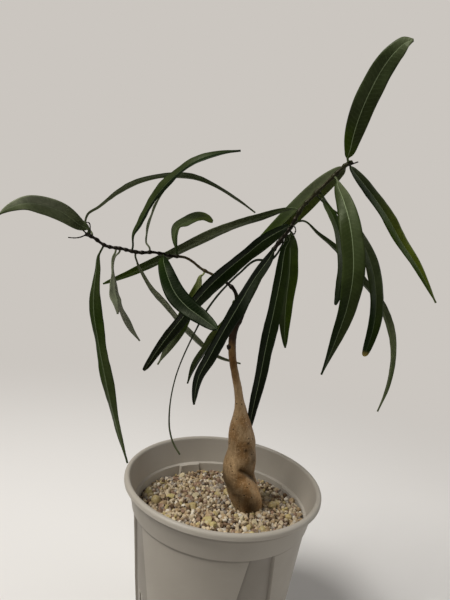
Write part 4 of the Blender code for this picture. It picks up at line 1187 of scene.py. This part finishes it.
def leaf_section(leaf, rng, blade, length):
    """Across and up values of the upper and the lower face's columns, for each ring."""
    shares = np.clip(blade / length, 0.0, 1.0)
    half = blade_half_width(leaf, shares)
    if leaf.name in POINTED_TIPS:
        half = np.minimum(half, PETIOLE_HALF_WIDTH + POINTED_TIPS[leaf.name] * (1.0 - shares) * length)
    spread = np.clip((half - PETIOLE_HALF_WIDTH) / (0.5 * leaf.width), 0.0, 1.0)
    column = np.linspace(-1.0, 1.0, LEAF_COLUMNS)
    column = np.sign(column) * np.abs(column) ** COLUMN_CROWDING
    side = 1.0 + MARGIN_WANDER * wander_halves(rng, blade, MARGIN_WANDER_LENGTH, column)
    across = np.maximum(half, PETIOLE_HALF_WIDTH)[:, None] * column * side
    out = np.abs(column)
    turn = 2 * math.pi * WAVE_COUNT * shares[:, None]
    wave = leaf.wave * np.where(column > 0, np.sin(turn + WAVE_LAG), np.sin(turn))
    ripple = RIPPLE * wander_halves(rng, blade, RIPPLE_LENGTH / 2, column)
    fold = half[:, None] * math.sin(FOLD_ANGLE) * ((1.0 + FOLD_CURL) * out - FOLD_CURL * out ** 2)
    rise = spread[:, None] * (fold + wave * out ** WAVE_POWER + ripple * out ** 2)
    skin = BLADE_SKIN + (EDGE_SKIN - BLADE_SKIN) * out ** 3
    rib = min(1.0, leaf.width / RIB_FULL_WIDTH) * (1.0 - RIB_TAPER * shares[:, None])
    ridge = rib * np.exp(-(across / RIB_WIDTH) ** 2)
    stalk = PETIOLE_HALF_DEPTH * np.sqrt(np.clip(1.0 - column ** 2, 0.0, 1.0))
    grown = np.clip(spread[:, None] / BLADE_START, 0.0, 1.0)
    upper = grown * (rise + skin - RIB_GROOVE * ridge) + (1 - grown) * stalk
    lower = grown * (rise - skin - RIB_DEPTH * ridge) - (1 - grown) * stalk
    return across, upper, lower


def leaf_colors(look, shares, across_share):
    """The colour of each point of the face that shows at the front."""
    halves = []
    for colors in (look.plus, look.minus):
        palette = linear(colors)
        stops = np.linspace(0.0, 1.0, len(colors))
        halves.append(np.stack([np.interp(shares, stops, column) for column in palette.T], axis=1))
    if look.dry:
        dry = np.clip((shares - 1.0) / DRY_LENGTH + DRY_TIP, 0.0, 1.0)[:, None]
        halves = [half + dry * (linear(look.dry) - half) for half in halves]
    share = np.clip(0.5 + HALF_BLEND * across_share, 0.0, 1.0)[:, :, None]
    return share * halves[0][:, None, :] + (1 - share) * halves[1][:, None, :]


def paint_leaf(piece, leaf, blade, shares, across):
    """Store each point's colour, its place on the blade, and how strongly the veins show there."""
    look = LOOKS[leaf.name]
    both = np.concatenate([across, across[:, ::-1]], axis=1)
    half = np.maximum(np.abs(across).max(axis=1), PETIOLE_HALF_WIDTH)[:, None]
    front = leaf_colors(look, shares, across / half)
    under = (1 - UNDER_SHARE) * front + UNDER_SHARE * linear(UNDER_COLOR)
    faces_front = math.cos(math.radians(leaf.turn[0])) > 0
    top, bottom = (front, under) if faces_front else (BACK_SHADE * front, front)
    store(piece, "leaf_color", np.concatenate([top, bottom[:, ::-1]], axis=1).reshape(-1, 3))
    store(piece, "blade_along", np.repeat(blade, 2 * LEAF_COLUMNS))
    store(piece, "blade_across", both.ravel())
    edge_fade = np.clip(2.0 - 2.0 * np.abs(both) / half, 0.0, 1.0)
    store(piece, "vein_strength", (look.veins * edge_fade).ravel())
    strength = look.rib * np.interp(shares, *RIB_FADE)
    store(piece, "rib_strength", np.repeat(strength, 2 * LEAF_COLUMNS))


def make_leaf(leaf, rng, material):
    curve = smooth_curve([*leaf_seat(leaf), *leaf.route])
    length = arc_lengths(curve)[-1]
    places = np.linspace(0.0, length, round(length / LEAF_RING_SPACING) + 1)
    centres = sample(curve, places)
    turns = np.interp(places / length, (0.0, 1.0), leaf.turn)
    upper_normal, plus_side = leaf_frames(directions(centres), turns)
    blade = places - leaf.petiole
    blade_length = length - leaf.petiole
    across, upper, lower = leaf_section(leaf, rng, blade, blade_length)
    faces = [centres[:, None, :] + out[:, :, None] * plus_side[:, None, :]
             + rise[:, :, None] * upper_normal[:, None, :]
             for out, rise in ((across, upper), (across[:, ::-1], lower[:, ::-1]))]
    points = np.concatenate(faces, axis=1).reshape(-1, 3)
    skin = loft_faces(len(places), 2 * LEAF_COLUMNS)
    piece = add_piece(f"leaf_{leaf.name}_blade", points, skin, material)
    paint_leaf(piece, leaf, blade, np.clip(blade / blade_length, 0.0, 1.0), across)
    return piece


def dress(piece, slot, *nodes):
    """Let the piece stand for these nodes of the CAD model."""
    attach(piece, "root")
    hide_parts(*nodes)


def make_camera():
    ahead = Vector((0.0, math.cos(CAMERA_PITCH), -math.sin(CAMERA_PITCH)))
    level = Vector((1.0, 0.0, 0.0))
    upright = level.cross(ahead)
    right = level * math.cos(CAMERA_ROLL) + upright * math.sin(CAMERA_ROLL)
    up = upright * math.cos(CAMERA_ROLL) - level * math.sin(CAMERA_ROLL)
    data = bpy.data.cameras.new("camera")
    data.lens = CAMERA_LENS
    data.sensor_width = CAMERA_SENSOR
    data.clip_start = 0.01
    data.clip_end = 100.0
    camera = bpy.data.objects.new("camera", data)
    camera.matrix_world = Matrix.Translation(Vector(CAMERA_PLACE) * MM) @ Matrix(
        (right, up, -ahead)).transposed().to_4x4()
    bpy.context.scene.collection.objects.link(camera)
    bpy.context.scene.camera = camera


def add_area_light(name, place, size, power, color):
    data = bpy.data.lights.new(name, "AREA")
    data.shape = "DISK"
    data.size = size
    data.energy = power
    data.color = color
    light = bpy.data.objects.new(name, data)
    light.location = place
    light.rotation_euler = (Vector(LIGHT_TARGET) - Vector(place)).to_track_quat("-Z", "Y").to_euler()
    bpy.context.scene.collection.objects.link(light)


def make_surround():
    """An even pale surround, weaker from the viewer's side and in reflections."""
    world = bpy.data.worlds.new("surround")
    bpy.context.scene.world = world
    world.use_nodes = True
    nodes = Nodes(world.node_tree)

    def pale(strength):
        return nodes.add("ShaderNodeBackground", {"Color": rgba(BACKDROP_COLOR), "Strength": strength})

    towards = nodes.add("ShaderNodeSeparateXYZ", {0: nodes.add("ShaderNodeTexCoord", {}, "Generated")}, "Y")
    surround = pale(nodes.add("ShaderNodeMapRange", {
        "Value": towards, "From Min": -1.0, "To Min": SURROUND_FRONT, "To Max": SURROUND_BACK}))
    for kind, strength in (("Is Glossy Ray", SHEEN_STRENGTH), ("Is Camera Ray", 1.0)):
        surround = nodes.blend(nodes.add("ShaderNodeLightPath", {}, kind), surround, pale(strength))
    nodes.show(surround, "World Output")


def floor_material():
    """Pale matte floor that fades into the backdrop's colour away from the object."""
    nodes = Paint("floor_paint", 0.9, specular=0.1)
    nodes.set(base_color=rgba(FLOOR_COLOR))
    distance = nodes.add("ShaderNodeVectorMath", {0: nodes.place()}, "Value", operation="LENGTH")
    seen = nodes.add("ShaderNodeLightPath", {}, "Is Camera Ray")
    strength = nodes.math("MAXIMUM", seen, FLOOR_GLOW)
    glow = nodes.add("ShaderNodeEmission", {"Color": rgba(BACKDROP_COLOR), "Strength": strength})
    shown = nodes.blend(nodes.spread(distance, *FLOOR_FADE), nodes.shader.outputs[0], glow)
    nodes.show(shown, "Material Output")
    return nodes.material


def make_floor():
    signs = ((-1, -1), (1, -1), (1, 1), (-1, 1))
    corners = [(x * FLOOR_REACH, y * FLOOR_REACH, -FLOOR_DROP) for x, y in signs]
    floor = add_piece("floor", corners, [(0, 1, 2, 3)], floor_material())


def main():
    make_camera()
    make_surround()
    for light in LIGHTS:
        add_area_light(*light)
    make_floor()
    dress(make_pot(), "pot", "pot")
    dress(make_bed(), "gravel", "gravel")
    dress(make_stones(), "gravel", "gravel")
    dress(make_wood(), "bark", "trunk_and_branches")
    rng = np.random.default_rng(LEAF_SEED)
    mature = leaf_material("leaf_mature", 0.38)
    young = leaf_material("leaf_soft", 0.45)
    for leaf in LEAVES:
        is_young = leaf.name in YOUNG_LEAVES
        blade = make_leaf(leaf, rng, young if is_young else mature)
        dress(blade, "leaf_young" if is_young else "leaf", f"leaf_{leaf.name}")
    bpy.context.scene.view_settings.view_transform = "Standard"


main()
